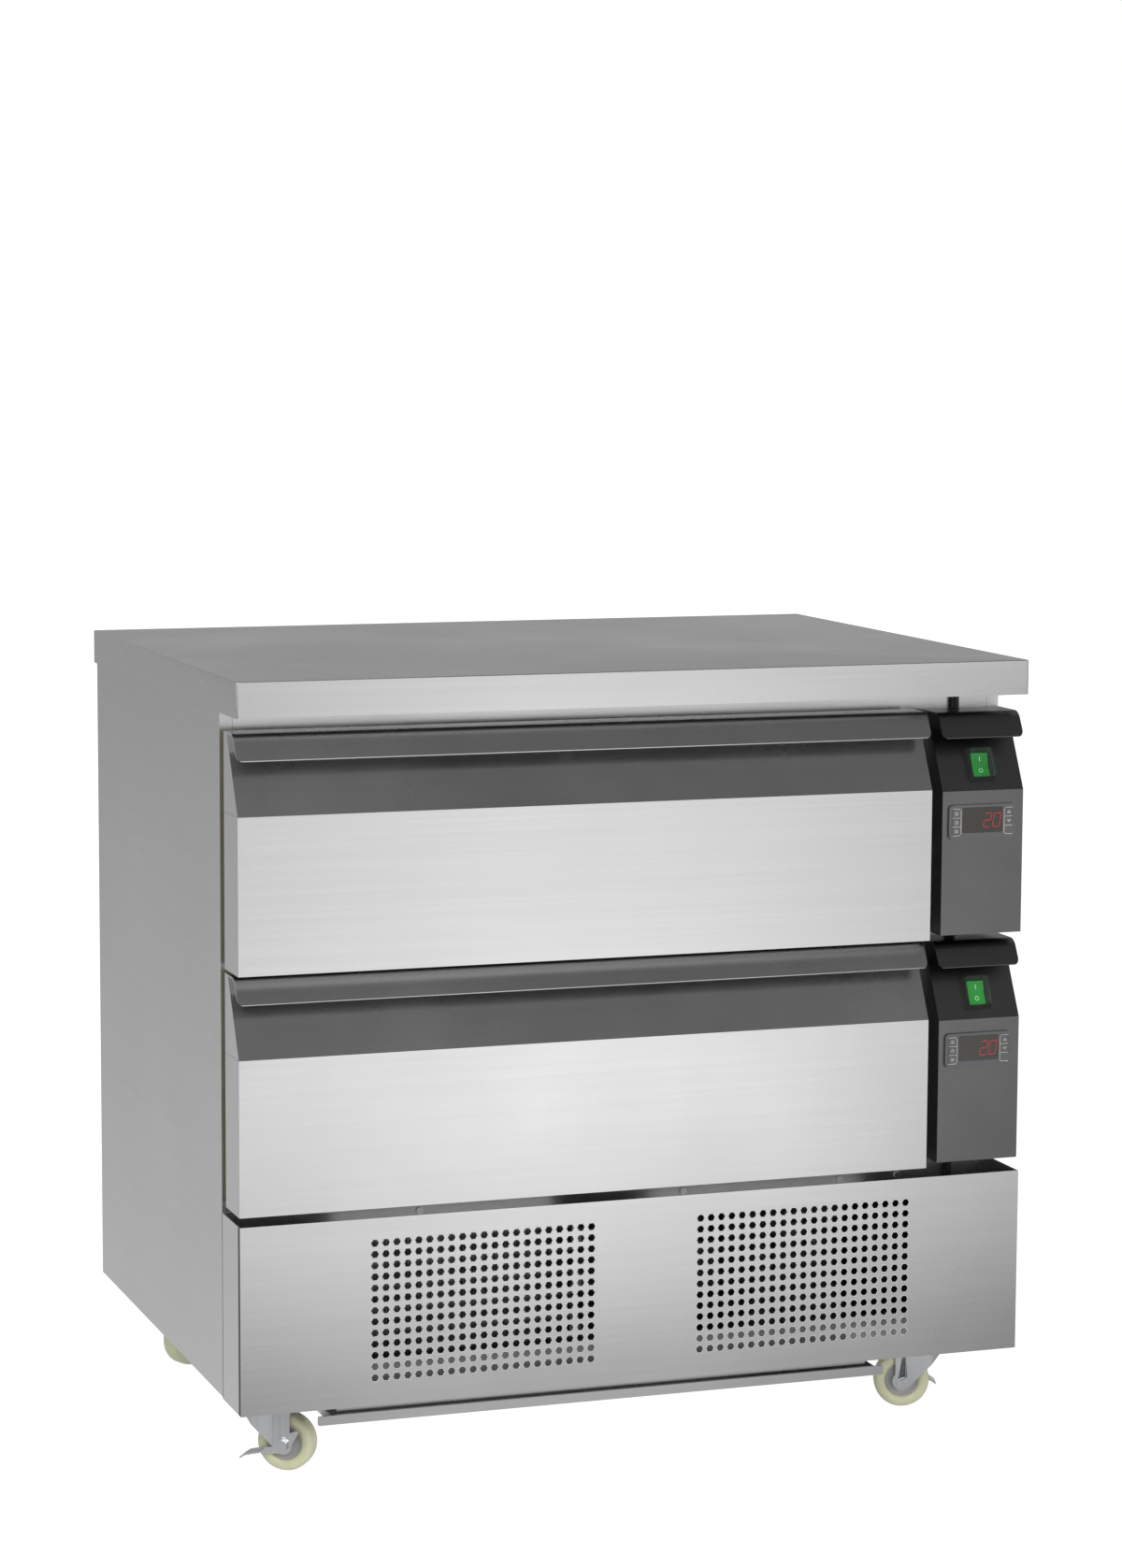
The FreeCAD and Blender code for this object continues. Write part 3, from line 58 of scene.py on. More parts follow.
# Sizes of what is added here, in millimetres
HOLE_STEP = 12.1
HOLE_COLUMNS = 21
HOLE_ROWS = 13
HOLE_LEFT = -300.0
HOLE_RIGHT = 67.5
HOLE_LOW = 122.0
HOLE_FLATS = 7.6
RIM_RADIUS = 0.4
FIN_STEP = 3.0
FIN_SHEET = 0.3
CONDENSER_FOOT = 6.8
CONDENSER_END_INSET = 8.0
CONDENSER_TUBE_RADIUS = 4.0
CONDENSER_TUBE_ROWS = 6
CONDENSER_TUBE_STEP = 25.0
CONDENSER_FIRST_TUBE = 14.0
CONDENSER_TUBE_PLACES = (0.3, 0.7)
END_PLATE_SHEET = 1.2
END_FOOT_SHEET = 1.5
END_FOOT_INSET = 4.0
END_FOOT_SPAN = (-9.0, 11.0)
LOUVRE_LEFT_EDGES = (("left", -330.0), ("right", -170.0))
LOUVRE_SLOT_WIDTH = 130.0
LOUVRE_SLOT_HEIGHT = 5.0
LOUVRE_LOW = 130.0
LOUVRE_ROWS = 8
LOUVRE_STEP = 16.0
HOOD_WIDTH = 128.0
HOOD_HEIGHT = 8.5
HOOD_SHEET = 0.9
HOOD_STANDOFF = 1.6
HOOD_LEAN = math.radians(-28)
COVER_JOINT = (73.4, 74.4)
# The cover's sides: a dark strip of painted shade just behind the front fold, from and to in mm behind the front
COVER_SIDE_PAINTED_SHADE = (1.0, 8.0)
SEAM_END_GAP = 0.6
DIGIT_HEIGHT = 15.0
DIGIT_WIDTH = 8.0
DIGIT_STEP = 11.0
DIGIT_STROKE = 0.9
DIGIT_SLANT = 0.14
PRINT_HEIGHT = 0.12
LINE_WIDTH = 0.45
EDGE_ROUND = 0.5
SHARP_TURN = math.radians(20)

# Wheels: half the tyre's width, the roundness of its shoulders, and the hub's outline as
# (along the axle, radius)
TYRE_HALF = 12.0
TYRE_SHOULDER = 7.0
TYRE_FOOT = 20.0
HUB_OUTLINE = ((-14.6, 4.1), (-14.6, 7.4), (-13.9, 8.2), (-9.6, 9.4), (-8.8, 11.0),
               (-8.8, 15.6), (-9.3, 16.6), (-10.4, 17.6), (-10.4, 18.9), (-9.4, 19.1),
               (9.4, 19.1), (10.4, 18.9), (10.4, 17.6), (9.3, 16.6), (8.8, 15.6),
               (8.8, 11.0), (9.6, 9.4), (13.9, 8.2), (14.6, 7.4), (14.6, 4.1))

# What tells the solids of one piece apart, in millimetres
BOOT_WIDEST = 29.0
BOOT_LOWEST = 25.0
BOARD_NARROWEST = 880.0
RAIL_WIDTHS = (500.0, 700.0)
SHEET_THICKEST = 5.0

STEEL_TONE = (0.60, 0.60, 0.605)

# The floor's brightness in reflections, by the distance in metres before and behind the
# counter, and the bright lane in front of it, which drifts aside and widens with the distance
FLOOR_REACH = 9.0
FLOOR_PEAK = 2.0
FRONT_FLOOR = ((0.0, 0.62), (0.22, 0.62), (0.31, 0.56), (0.42, 0.60), (0.70, 0.96),
               (1.10, 1.20), (1.37, 1.62), (1.80, 1.82), (2.20, 1.80), (3.10, 1.22),
               (3.50, 1.20), (4.20, 1.38), (5.40, 1.42), (9.0, 1.42))
REAR_FLOOR = ((0.0, 0.68), (1.0, 0.62), (3.0, 0.54), (7.0, 0.45), (9.0, 0.40))
COUNTER_FRONT = 0.33
LANE_START = 0.12
LANE_DRIFT = 0.356
LANE_WIDTH = 0.42
LANE_WIDENING = 0.10
FLOOR_SIDE_SHARE = 0.24
FLOOR_EDGE = 30.0
FLOOR_GLOW = 0.86

# The studio's brightness by the height of a ray, in front of the counter and behind it
FRONT_STUDIO = ((0.0, 1.0), (0.30, 1.0), (0.50, 0.20), (0.62, 0.13), (0.85, 0.15), (1.0, 0.5))
REAR_STUDIO = ((0.0, 0.55), (0.10, 0.46), (0.25, 0.36), (0.6, 0.16), (1.0, 0.5))


# Node trees


def new_tree(material_name):
    material = bpy.data.materials.new(material_name)
    material.use_nodes = True
    tree = material.node_tree
    return material, tree, tree.nodes["Principled BSDF"]


def add(tree, kind, **settings):
    node = tree.nodes.new(kind)
    for name, value in settings.items():
        if name in node.inputs:
            node.inputs[name].default_value = value
        else:
            setattr(node, name, value)
    return node


def link(tree, source, target):
    tree.links.new(source, target)


def grain_group():
    """Fine streaks along one axis, and slow cloudy tone, from object coordinates."""
    group = bpy.data.node_groups.new("BrushedGrain", "ShaderNodeTree")
    sockets = group.interface
    sockets.new_socket("Stretch", in_out="INPUT", socket_type="NodeSocketVector")
    sockets.new_socket("Streak", in_out="OUTPUT", socket_type="NodeSocketFloat")
    sockets.new_socket("Cloud", in_out="OUTPUT", socket_type="NodeSocketFloat")
    entry = group.nodes.new("NodeGroupInput")
    leave = group.nodes.new("NodeGroupOutput")
    place = add(group, "ShaderNodeTexCoord")
    stretch = add(group, "ShaderNodeVectorMath", operation="MULTIPLY")
    streak = add(group, "ShaderNodeTexNoise", Scale=1.0, Detail=3.0, Roughness=0.6)
    cloud = add(group, "ShaderNodeTexNoise", Scale=5.0, Detail=4.0, Roughness=0.55)
    link(group, place.outputs["Object"], stretch.inputs[0])
    link(group, entry.outputs["Stretch"], stretch.inputs[1])
    link(group, stretch.outputs["Vector"], streak.inputs["Vector"])
    link(group, place.outputs["Object"], cloud.inputs["Vector"])
    link(group, streak.outputs["Fac"], leave.inputs["Streak"])
    link(group, cloud.outputs["Fac"], leave.inputs["Cloud"])
    return group


def speckle_group():
    """Small even bumps and a soft tone change for moulded and painted skins."""
    group = bpy.data.node_groups.new("MouldedSkin", "ShaderNodeTree")
    sockets = group.interface
    sockets.new_socket("Size", in_out="INPUT", socket_type="NodeSocketFloat")
    sockets.new_socket("Grain", in_out="OUTPUT", socket_type="NodeSocketFloat")
    sockets.new_socket("Cloud", in_out="OUTPUT", socket_type="NodeSocketFloat")
    entry = group.nodes.new("NodeGroupInput")
    leave = group.nodes.new("NodeGroupOutput")
    place = add(group, "ShaderNodeTexCoord")
    grain = add(group, "ShaderNodeTexNoise", Detail=2.0, Roughness=0.5)
    cloud = add(group, "ShaderNodeTexNoise", Scale=22.0, Detail=3.0)
    link(group, place.outputs["Object"], grain.inputs["Vector"])
    link(group, entry.outputs["Size"], grain.inputs["Scale"])
    link(group, place.outputs["Object"], cloud.inputs["Vector"])
    link(group, grain.outputs["Fac"], leave.inputs["Grain"])
    link(group, cloud.outputs["Fac"], leave.inputs["Cloud"])
    return group


GRAIN = grain_group()
SKIN = speckle_group()


def tone_between(tree, factor, dark, light):
    mix = add(tree, "ShaderNodeMix", data_type="RGBA")
    mix.inputs["A"].default_value = (*dark, 1.0)
    mix.inputs["B"].default_value = (*light, 1.0)
    link(tree, factor, mix.inputs["Factor"])
    return mix.outputs["Result"]


def map_value(tree, value, low, high):
    spread = add(tree, "ShaderNodeMapRange")
    spread.inputs["From Min"].default_value = 0.3
    spread.inputs["From Max"].default_value = 0.7
    spread.inputs["To Min"].default_value = low
    spread.inputs["To Max"].default_value = high
    link(tree, value, spread.inputs["Value"])
    return spread.outputs["Result"]


def shade(colour, factor):
    return tuple(min(1.0, channel * factor) for channel in colour)


def steel(name, colour, rough, along, contrast=0.04, bump=0.01):
    """Brushed metal with its streaks along one axis: x, y or z."""
    material, tree, surface = new_tree(name)
    stretch = {"x": (2.0, 160.0, 160.0), "y": (160.0, 2.0, 160.0),
               "z": (160.0, 160.0, 2.0)}[along]
    grain = add(tree, "ShaderNodeGroup", node_tree=GRAIN)
    grain.inputs["Stretch"].default_value = stretch
    streak_tone = map_value(tree, grain.outputs["Streak"], 0.0, 0.55)
    cloud_tone = map_value(tree, grain.outputs["Cloud"], 0.0, 0.45)
    both = add(tree, "ShaderNodeMath", operation="ADD")
    link(tree, streak_tone, both.inputs[0])
    link(tree, cloud_tone, both.inputs[1])
    tone = tone_between(tree, both.outputs["Value"], shade(colour, 1 - contrast),
                        shade(colour, 1 + contrast))
    link(tree, tone, surface.inputs["Base Color"])
    roughness = map_value(tree, grain.outputs["Cloud"], rough * 0.88, rough * 1.12)
    link(tree, roughness, surface.inputs["Roughness"])
    relief = add(tree, "ShaderNodeBump", Strength=bump, Distance=0.0004)
    link(tree, grain.outputs["Streak"], relief.inputs["Height"])
    link(tree, relief.outputs["Normal"], surface.inputs["Normal"])
    surface.inputs["Metallic"].default_value = 1.0
    return material


def skin(name, colour, rough, metallic=0.0, size=900.0, bump=0.06, contrast=0.08,
         coat=0.0, alpha=1.0, glow=None, glow_power=0.0, scatter=0.0):
    """Moulded plastic, rubber, foam, paint or a lens."""
    material, tree, surface = new_tree(name)
    grain = add(tree, "ShaderNodeGroup", node_tree=SKIN)
    grain.inputs["Size"].default_value = size
    tone = tone_between(tree, map_value(tree, grain.outputs["Cloud"], 0.0, 1.0),
                        shade(colour, 1 - contrast), shade(colour, 1 + contrast))
    link(tree, tone, surface.inputs["Base Color"])
    link(tree, map_value(tree, grain.outputs["Grain"], rough * 0.9, rough * 1.1),
         surface.inputs["Roughness"])
    relief = add(tree, "ShaderNodeBump", Strength=bump, Distance=0.0005)
    link(tree, grain.outputs["Grain"], relief.inputs["Height"])
    link(tree, relief.outputs["Normal"], surface.inputs["Normal"])
    surface.inputs["Metallic"].default_value = metallic
    surface.inputs["Coat Weight"].default_value = coat
    surface.inputs["Alpha"].default_value = alpha
    if scatter:
        surface.inputs["Subsurface Weight"].default_value = scatter
        surface.inputs["Subsurface Radius"].default_value = (0.006, 0.006, 0.003)
    if glow:
        link(tree, tone_between(tree, map_value(tree, grain.outputs["Cloud"], 0.0, 1.0),
                                shade(glow, 0.82), glow), surface.inputs["Emission Color"])
        surface.inputs["Emission Strength"].default_value = glow_power
    return material


LOOKS = {
    "steel_front": steel("SteelFront", STEEL_TONE, 0.27, "x"),
    "steel_side": steel("SteelSide", STEEL_TONE, 0.30, "y"),
    "steel_back": steel("SteelBack", STEEL_TONE, 0.34, "x"),
    "steel_inner": steel("SteelInner", (0.52, 0.52, 0.53), 0.36, "y"),
    "slide": steel("SlideSteel", (0.56, 0.57, 0.58), 0.30, "y"),
    "zinc": steel("BrightZinc", (0.74, 0.75, 0.76), 0.26, "z", contrast=0.08, bump=0.05),
    "aluminium": steel("FinAluminium", (0.62, 0.63, 0.64), 0.38, "z"),
    "copper": steel("DrawnCopper", (0.72, 0.40, 0.25), 0.3, "x"),
    "black_coat": skin("BlackCoat", (0.155, 0.155, 0.157), 0.3, metallic=1.0,
                       size=1400.0, bump=0.02, contrast=0.03),
    "black_paint": skin("BlackPaint", (0.012, 0.012, 0.013), 0.4, coat=0.2),
    "black_plastic": skin("BlackPlastic", (0.012, 0.012, 0.012), 0.45, size=1600.0),
    "grey_fascia": skin("FasciaPlastic", (0.105, 0.105, 0.108), 0.42, size=1800.0,
                        bump=0.04, contrast=0.04),
    "window": skin("SmokedWindow", (0.030, 0.028, 0.022), 0.12, coat=0.3, bump=0.0),
    "boot": skin("ClearBoot", (0.10, 0.16, 0.11), 0.25, alpha=0.10, coat=0.3, bump=0.1),
    "green_lens": skin("GreenLens", (0.010, 0.16, 0.025), 0.3, glow=(0.010, 0.34, 0.030),
                       glow_power=0.4, contrast=0.35),
    "red_digit": skin("RedDigit", (0.30, 0.01, 0.015), 0.4, glow=(0.36, 0.014, 0.02),
                      glow_power=0.7),
    "white_print": skin("WhitePrint", (0.72, 0.72, 0.70), 0.5),
    "pale_mark": skin("PaleMark", (0.45, 0.80, 0.45), 0.5, glow=(0.32, 0.70, 0.32),
                      glow_power=0.35),
    "cut_edge": skin("CutEdge", (0.72, 0.72, 0.72), 0.5, size=1200.0),
    # Dark metal for the joint line beside the cover, and for the painted shade on the cover's sides
    "seam_and_painted_shade": skin("SeamAndPaintedShade", (0.10, 0.10, 0.10), 0.5, metallic=1.0, size=1200.0),
    "rubber": skin("SealRubber", (0.014, 0.014, 0.014), 0.6, size=700.0, bump=0.15),
    "foam": skin("Foam", (0.78, 0.70, 0.45), 0.9, size=300.0, bump=0.6),
    "nylon": skin("Nylon", (0.76, 0.77, 0.53), 0.3, coat=0.25, size=500.0, bump=0.03,
                  scatter=0.25),
    "hub": skin("GreyHub", (0.42, 0.42, 0.41), 0.45),
    "motor": skin("MotorPaint", (0.16, 0.16, 0.17), 0.5),
}


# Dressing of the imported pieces


def islands_of(shape):
    """Groups of faces that hang together, one for each solid."""
    waiting = set(shape.faces)
    groups = []
    while waiting:
        start = waiting.pop()
        group = [start]
        stack = [start]
        while stack:
            current = stack.pop()
            for edge in current.edges:
                for other in edge.link_faces:
                    if other in waiting:
                        waiting.remove(other)
                        group.append(other)
                        stack.append(other)
        groups.append(group)
    return groups


def extent(faces):
    corners = [vert.co for one in faces for vert in one.verts]
    low = Vector([min(corner[axis] for corner in corners) for axis in range(3)])
    high = Vector([max(corner[axis] for corner in corners) for axis in range(3)])
    return low, high


def dress(node, looks, choose=None, rounding=EDGE_ROUND):
    """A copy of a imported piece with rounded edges, which then stands for it."""
    source = frame["nodes"][node]
    shape = bmesh.new()
    shape.from_mesh(source.data)
    bmesh.ops.remove_doubles(shape, verts=shape.verts, dist=1e-6)
    if choose:
        for group in islands_of(shape):
            index = choose(*extent(group))
            for one in group:
                one.material_index = index
    else:
        for one in shape.faces:
            one.material_index = 0
    bmesh.ops.dissolve_limit(shape, angle_limit=math.radians(0.6), verts=shape.verts[:],
                             edges=shape.edges[:], delimit={"MATERIAL"})
    for one in shape.faces:
        one.smooth = True
    for edge in shape.edges:
        edge.smooth = edge.calc_face_angle(0.0) < SHARP_TURN
    mesh = bpy.data.meshes.new(node + "_dressed")
    shape.to_mesh(mesh)
    shape.free()
    for look in looks:
        mesh.materials.append(LOOKS[look])
    piece = bpy.data.objects.new(node + "_dressed", mesh)
    bpy.context.scene.collection.objects.link(piece)
    if rounding:
        round_edges(piece, rounding)
    settle(piece, body_of_node(node))
    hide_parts(node)
    return piece


def round_edges(piece, width):
    bevel = piece.modifiers.new("Rounded", "BEVEL")
    bevel.width = width * MM
    bevel.segments = 2
    bevel.limit_method = "ANGLE"
    bevel.angle_limit = SHARP_TURN
    bevel.harden_normals = True
    bevel.use_clamp_overlap = True
    apply_modifiers(piece)


def apply_modifiers(piece):
    bpy.context.view_layer.update()
    graph = bpy.context.evaluated_depsgraph_get()
    finished = bpy.data.meshes.new_from_object(piece.evaluated_get(graph))
    piece.modifiers.clear()
    piece.data = finished


def body_of_node(node):
    for body, members in frame["record"]["behaviour"]["bodies"].items():
        if node in members:
            return body
    raise ValueError(node)


def settle(piece, body):
    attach(piece, body)
    return piece


def mesh_piece(name, corners, faces, look, body, smooth=False):
    mesh = bpy.data.meshes.new(name)
    mesh.from_pydata(corners, [], faces)
    mesh.validate()
    shape = bmesh.new()
    shape.from_mesh(mesh)
    bmesh.ops.recalc_face_normals(shape, faces=shape.faces)
    shape.to_mesh(mesh)
    shape.free()
    for polygon in mesh.polygons:
        polygon.use_smooth = smooth
    mesh.materials.append(LOOKS[look])
    piece = bpy.data.objects.new(name, mesh)
    bpy.context.scene.collection.objects.link(piece)
    return settle(piece, body)


def paint(node, look):
    """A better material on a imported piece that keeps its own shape."""
    for place in frame["nodes"][node].material_slots:
        place.link = "OBJECT"
        place.material = LOOKS[look]


# Printed marks: flat strokes a hair above the face that they are printed on


class Strokes:
    """Collects flat plates in a plane that has its own across, up and outward directions."""

    def __init__(self, origin, across, up, outward):
        self.origin = origin
        self.across = across
        self.up = up
        self.outward = outward
        self.corners = []
        self.faces = []

    def place(self, x, y, lift):
        return self.origin + (self.across * x + self.up * y + self.outward * lift) * MM

    def plate(self, outline):
        """A closed outline of (across, up) points as a thin raised plate."""
        count = len(outline)
        first = len(self.corners)
        for lift in (0.01, PRINT_HEIGHT):
            for x, y in outline:
                self.corners.append(self.place(x, y, lift))
        self.faces.append([first + index for index in range(count)][::-1])
        self.faces.append([first + count + index for index in range(count)])
        for index in range(count):
            following = (index + 1) % count
            self.faces.append([first + index, first + following,
                               first + count + following, first + count + index])

    def line(self, points, width=LINE_WIDTH):
        """A stroke of even width through a list of points."""
        for (x0, y0), (x1, y1) in zip(points, points[1:]):
            length = math.hypot(x1 - x0, y1 - y0)
            along = ((x1 - x0) / length, (y1 - y0) / length)
            side = (-along[1] * width / 2, along[0] * width / 2)
            tip = (along[0] * width / 3, along[1] * width / 3)
            self.plate([(x0 - side[0] - tip[0], y0 - side[1] - tip[1]),
                        (x1 - side[0] + tip[0], y1 - side[1] + tip[1]),
                        (x1 + side[0] + tip[0], y1 + side[1] + tip[1]),
                        (x0 + side[0] - tip[0], y0 + side[1] - tip[1])])

    def arc(self, x, y, radius, start, end, steps=8, width=LINE_WIDTH):
        points = []
        for step in range(steps + 1):
            angle = math.radians(start + (end - start) * step / steps)
            points.append((x + radius * math.cos(angle), y + radius * math.sin(angle)))
        self.line(points, width)

    def finish(self, name, look, body, slot):
        return mesh_piece(name, self.corners, self.faces, look, body)


FACING_FRONT = (Vector((1, 0, 0)), Vector((0, 0, 1)), Vector((0, -1, 0)))

SEGMENTS = {"0": "abcdef", "2": "abged"}


def digit_segments(strokes, value, left, bottom):
    """One seven-segment figure, leaning a little to the right."""
    width, height, stroke = DIGIT_WIDTH, DIGIT_HEIGHT, DIGIT_STROKE
    gap = stroke * 0.42
    corners = {"a": ((0, height), (width, height)), "d": ((0, 0), (width, 0)),
               "g": ((0, height / 2), (width, height / 2)),
               "b": ((width, height / 2), (width, height)), "c": ((width, 0), (width, height / 2)),
               "f": ((0, height / 2), (0, height)), "e": ((0, 0), (0, height / 2))}
    for name in SEGMENTS[value]:
        (x0, y0), (x1, y1) = corners[name]
        level = y0 == y1
        half = stroke / 2
        if level:
            flat = [(x0 + gap, y0), (x0 + gap + half, y0 + half), (x1 - gap - half, y0 + half),
                    (x1 - gap, y0), (x1 - gap - half, y0 - half), (x0 + gap + half, y0 - half)]
        else:
            flat = [(x0, y0 + gap), (x0 + half, y0 + gap + half), (x0 + half, y1 - gap - half),
                    (x0, y1 - gap), (x0 - half, y1 - gap - half), (x0 - half, y0 + gap + half)]
        strokes.plate([(left + x + y * DIGIT_SLANT, bottom + y) for x, y in flat])


def controller_marks(level):
    """The digits, the key brackets on the fascia and an icon on each key."""
    keys = {name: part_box(level + "_" + name + "_key")
            for name in ("set", "timer", "light", "up", "down")}
    face_y = keys["timer"][0].y + 0.4 * MM
    left_x = (keys["timer"][0].x + keys["timer"][1].x) / 2
    right_x = (keys["up"][0].x + keys["up"][1].x) / 2
    middle = Vector(((left_x + right_x) / 2, face_y, (keys["timer"][0].z + keys["timer"][1].z) / 2))
    reach = (right_x - left_x) / 2 / MM
    digits = Strokes(middle, *FACING_FRONT)
    digit_segments(digits, "2", 1.0, -6.0)
    digit_segments(digits, "0", 1.0 + DIGIT_STEP, -6.0)
    digits.plate([(22.6, 9.2), (23.3, 9.2), (23.4, 9.9), (22.7, 9.9)])
    digits.finish(level + "_display_digits", "red_digit", "cabinet", "dark_window")
    lines = Strokes(middle, *FACING_FRONT)
    pitch = 9.8
    inner = reach - 5.6
    top = pitch * 1.5
    for side in (-1, 1):
        edge = side * inner
        back = side * (inner + 2.0)
        tip = side * (reach + 4.2)
        lines.line([(tip, top), (back, top), (edge, top - 2.0), (edge, -top + 2.0),
                    (back, -top), (tip, -top)])
        for height in (pitch * 0.5, -pitch * 0.5):
            lines.line([(edge, height), (tip, height)])
    lines.finish(level + "_key_brackets", "white_print", "cabinet", "black_plastic")
    for name, (low, high) in keys.items():
        place = Vector(((low.x + high.x) / 2, low.y, (low.z + high.z) / 2))
        icon = Strokes(place, *FACING_FRONT)
        KEY_ICONS[name](icon)
        icon.finish(level + "_" + name + "_icon", "white_print", level + "_" + name + "_key",
                    "black_plastic")


def icon_up(icon):
    icon.line([(-1.9, -1.2), (0, 1.5), (1.9, -1.2), (-1.9, -1.2)], 0.4)


def icon_down(icon):
    icon.line([(-1.9, 1.1), (0, -1.4), (1.9, 1.1)], 0.4)
    icon.line([(-1.9, 1.1), (-0.7, 1.1)], 0.4)
    icon.line([(0.7, 1.1), (1.9, 1.1)], 0.4)


def icon_light(icon):
    icon.arc(0, 0, 1.1, 0, 360, 12, 0.4)
    for turn in range(6):
        angle = math.radians(60 * turn + 30)
        icon.line([(1.7 * math.cos(angle), 1.7 * math.sin(angle)),
                   (2.4 * math.cos(angle), 2.4 * math.sin(angle))], 0.4)


def icon_timer(icon):
    icon.arc(0, 0, 1.9, 0, 360, 14, 0.4)
    icon.line([(0, 0), (0, 1.3)], 0.4)
    icon.line([(0, 0), (1.0, -0.4)], 0.4)


def icon_set(icon):
    for height in (1.2, 0.0, -1.2):
        icon.line([(-2.0, height), (2.0, height)], 0.35)
    for x, height in ((-0.9, 1.2), (0.8, 0.0), (-0.3, -1.2)):
        icon.arc(x, height, 0.45, 0, 360, 8, 0.4)


KEY_ICONS = {"up": icon_up, "down": icon_down, "light": icon_light, "timer": icon_timer,
             "set": icon_set}


def rocker_marks(level):
    """An upright stroke and a ring on the lit rocker."""
    node = frame["nodes"][level + "_rocker"]
    normals = {}
    for polygon in node.data.polygons:
        direction = tuple(round(part, 2) for part in polygon.normal)
        if polygon.normal.y < -0.5 and polygon.normal.z > 0.05:
            normals.setdefault(direction, []).append(polygon)
    largest = sorted(normals, key=lambda key: -sum(one.area for one in normals[key]))[:2]
    for index, key in enumerate(sorted(largest, key=lambda one: one[2])):
        flats = normals[key]
        total = sum(one.area for one in flats)
        centre = sum((one.center * one.area for one in flats), Vector()) / total
        outward = flats[0].normal.normalized()
        across = Vector((1, 0, 0))
        up = outward.cross(across).normalized()
        mark = Strokes(centre, across, up, outward)
        if index == 0:
            mark.line([(0, -2.4), (0, 2.4)], 0.8)
        else:
            mark.arc(0, 0, 2.2, 0, 360, 16, 0.7)
        name = level + ("_rocker_stroke" if index == 0 else "_rocker_ring")
        mark.finish(name, "pale_mark", level + "_rocker", "green_lens")


# What repeats: small shapes set out on a grid or run along a path by Geometry Nodes


def open_tree(name, inputs):
    """A Geometry Nodes tree with named inputs, and its two end nodes."""
    tree = bpy.data.node_groups.new(name, "GeometryNodeTree")
    tree.interface.new_socket("Geometry", in_out="INPUT", socket_type="NodeSocketGeometry")
    for label, kind in inputs:
        tree.interface.new_socket(label, in_out="INPUT", socket_type="NodeSocket" + kind)
    tree.interface.new_socket("Geometry", in_out="OUTPUT", socket_type="NodeSocketGeometry")
    return tree, tree.nodes.new("NodeGroupInput"), tree.nodes.new("NodeGroupOutput")


def close_tree(tree, entry, leave, shape):
    """Realize Instances and Set Material at the end of a tree."""
    real = add(tree, "GeometryNodeRealizeInstances")
    finish = add(tree, "GeometryNodeSetMaterial")
    link(tree, shape, real.inputs["Geometry"])
    link(tree, real.outputs["Geometry"], finish.inputs["Geometry"])
    link(tree, entry.outputs["Finish"], finish.inputs["Material"])
    link(tree, finish.outputs["Geometry"], leave.inputs["Geometry"])
    return tree


def span_of(tree, count, step):
    """The length of a row of evenly stepped places."""
    less = add(tree, "ShaderNodeMath", operation="SUBTRACT")
    less.inputs[1].default_value = 1.0
    times = add(tree, "ShaderNodeMath", operation="MULTIPLY")
    link(tree, count, less.inputs[0])
    link(tree, less.outputs["Value"], times.inputs[0])
    link(tree, step, times.inputs[1])
    return times.outputs["Value"]


def repeat_on_grid(tree, entry, unit):
    """Sets a unit out in columns and rows, stands the sheet upright and moves it to its place."""
    grid = add(tree, "GeometryNodeMeshGrid")
    link(tree, entry.outputs["Columns"], grid.inputs["Vertices X"])
    link(tree, entry.outputs["Rows"], grid.inputs["Vertices Y"])
    link(tree, span_of(tree, entry.outputs["Columns"], entry.outputs["Step Across"]),
         grid.inputs["Size X"])
    link(tree, span_of(tree, entry.outputs["Rows"], entry.outputs["Step Up"]),
         grid.inputs["Size Y"])
    spread = add(tree, "GeometryNodeInstanceOnPoints")
    link(tree, grid.outputs["Mesh"], spread.inputs["Points"])
    link(tree, unit, spread.inputs["Instance"])
    stand = add(tree, "GeometryNodeTransform")
    stand.inputs["Rotation"].default_value = (math.radians(90), 0, 0)
    link(tree, spread.outputs["Instances"], stand.inputs["Geometry"])
    link(tree, entry.outputs["Middle"], stand.inputs["Translation"])
    return stand.outputs["Geometry"]


GRID_INPUTS = [("Finish", "Material"), ("Columns", "Int"), ("Rows", "Int"),
               ("Step Across", "Float"), ("Step Up", "Float"), ("Middle", "Vector")]


def rim_tree():
    """Rolled rims round six-sided holes."""
    tree, entry, leave = open_tree("HoleRims", GRID_INPUTS + [("Corner Radius", "Float"),
                                                              ("Rim Radius", "Float")])
    ring = add(tree, "GeometryNodeCurvePrimitiveCircle", Resolution=6)
    link(tree, entry.outputs["Corner Radius"], ring.inputs["Radius"])
    section = add(tree, "GeometryNodeCurvePrimitiveCircle", Resolution=5)
    link(tree, entry.outputs["Rim Radius"], section.inputs["Radius"])
    sweep = add(tree, "GeometryNodeCurveToMesh")
    link(tree, ring.outputs["Curve"], sweep.inputs["Curve"])
    link(tree, section.outputs["Curve"], sweep.inputs["Profile Curve"])
    return close_tree(tree, entry, leave, repeat_on_grid(tree, entry, sweep.outputs["Mesh"]))


def plate_tree():
    """Thin plates in a row or a grid: fins and louvre hoods."""
    tree, entry, leave = open_tree("Plates", GRID_INPUTS + [("Plate", "Vector"),
                                                            ("Lean", "Float")])
    plate = add(tree, "GeometryNodeMeshCube")
    link(tree, entry.outputs["Plate"], plate.inputs["Size"])
    lean = add(tree, "ShaderNodeCombineXYZ")
    link(tree, entry.outputs["Lean"], lean.inputs["X"])
    turned = add(tree, "GeometryNodeTransform")
    link(tree, plate.outputs["Mesh"], turned.inputs["Geometry"])
    link(tree, lean.outputs["Vector"], turned.inputs["Rotation"])
    return close_tree(tree, entry, leave, repeat_on_grid(tree, entry, turned.outputs["Geometry"]))


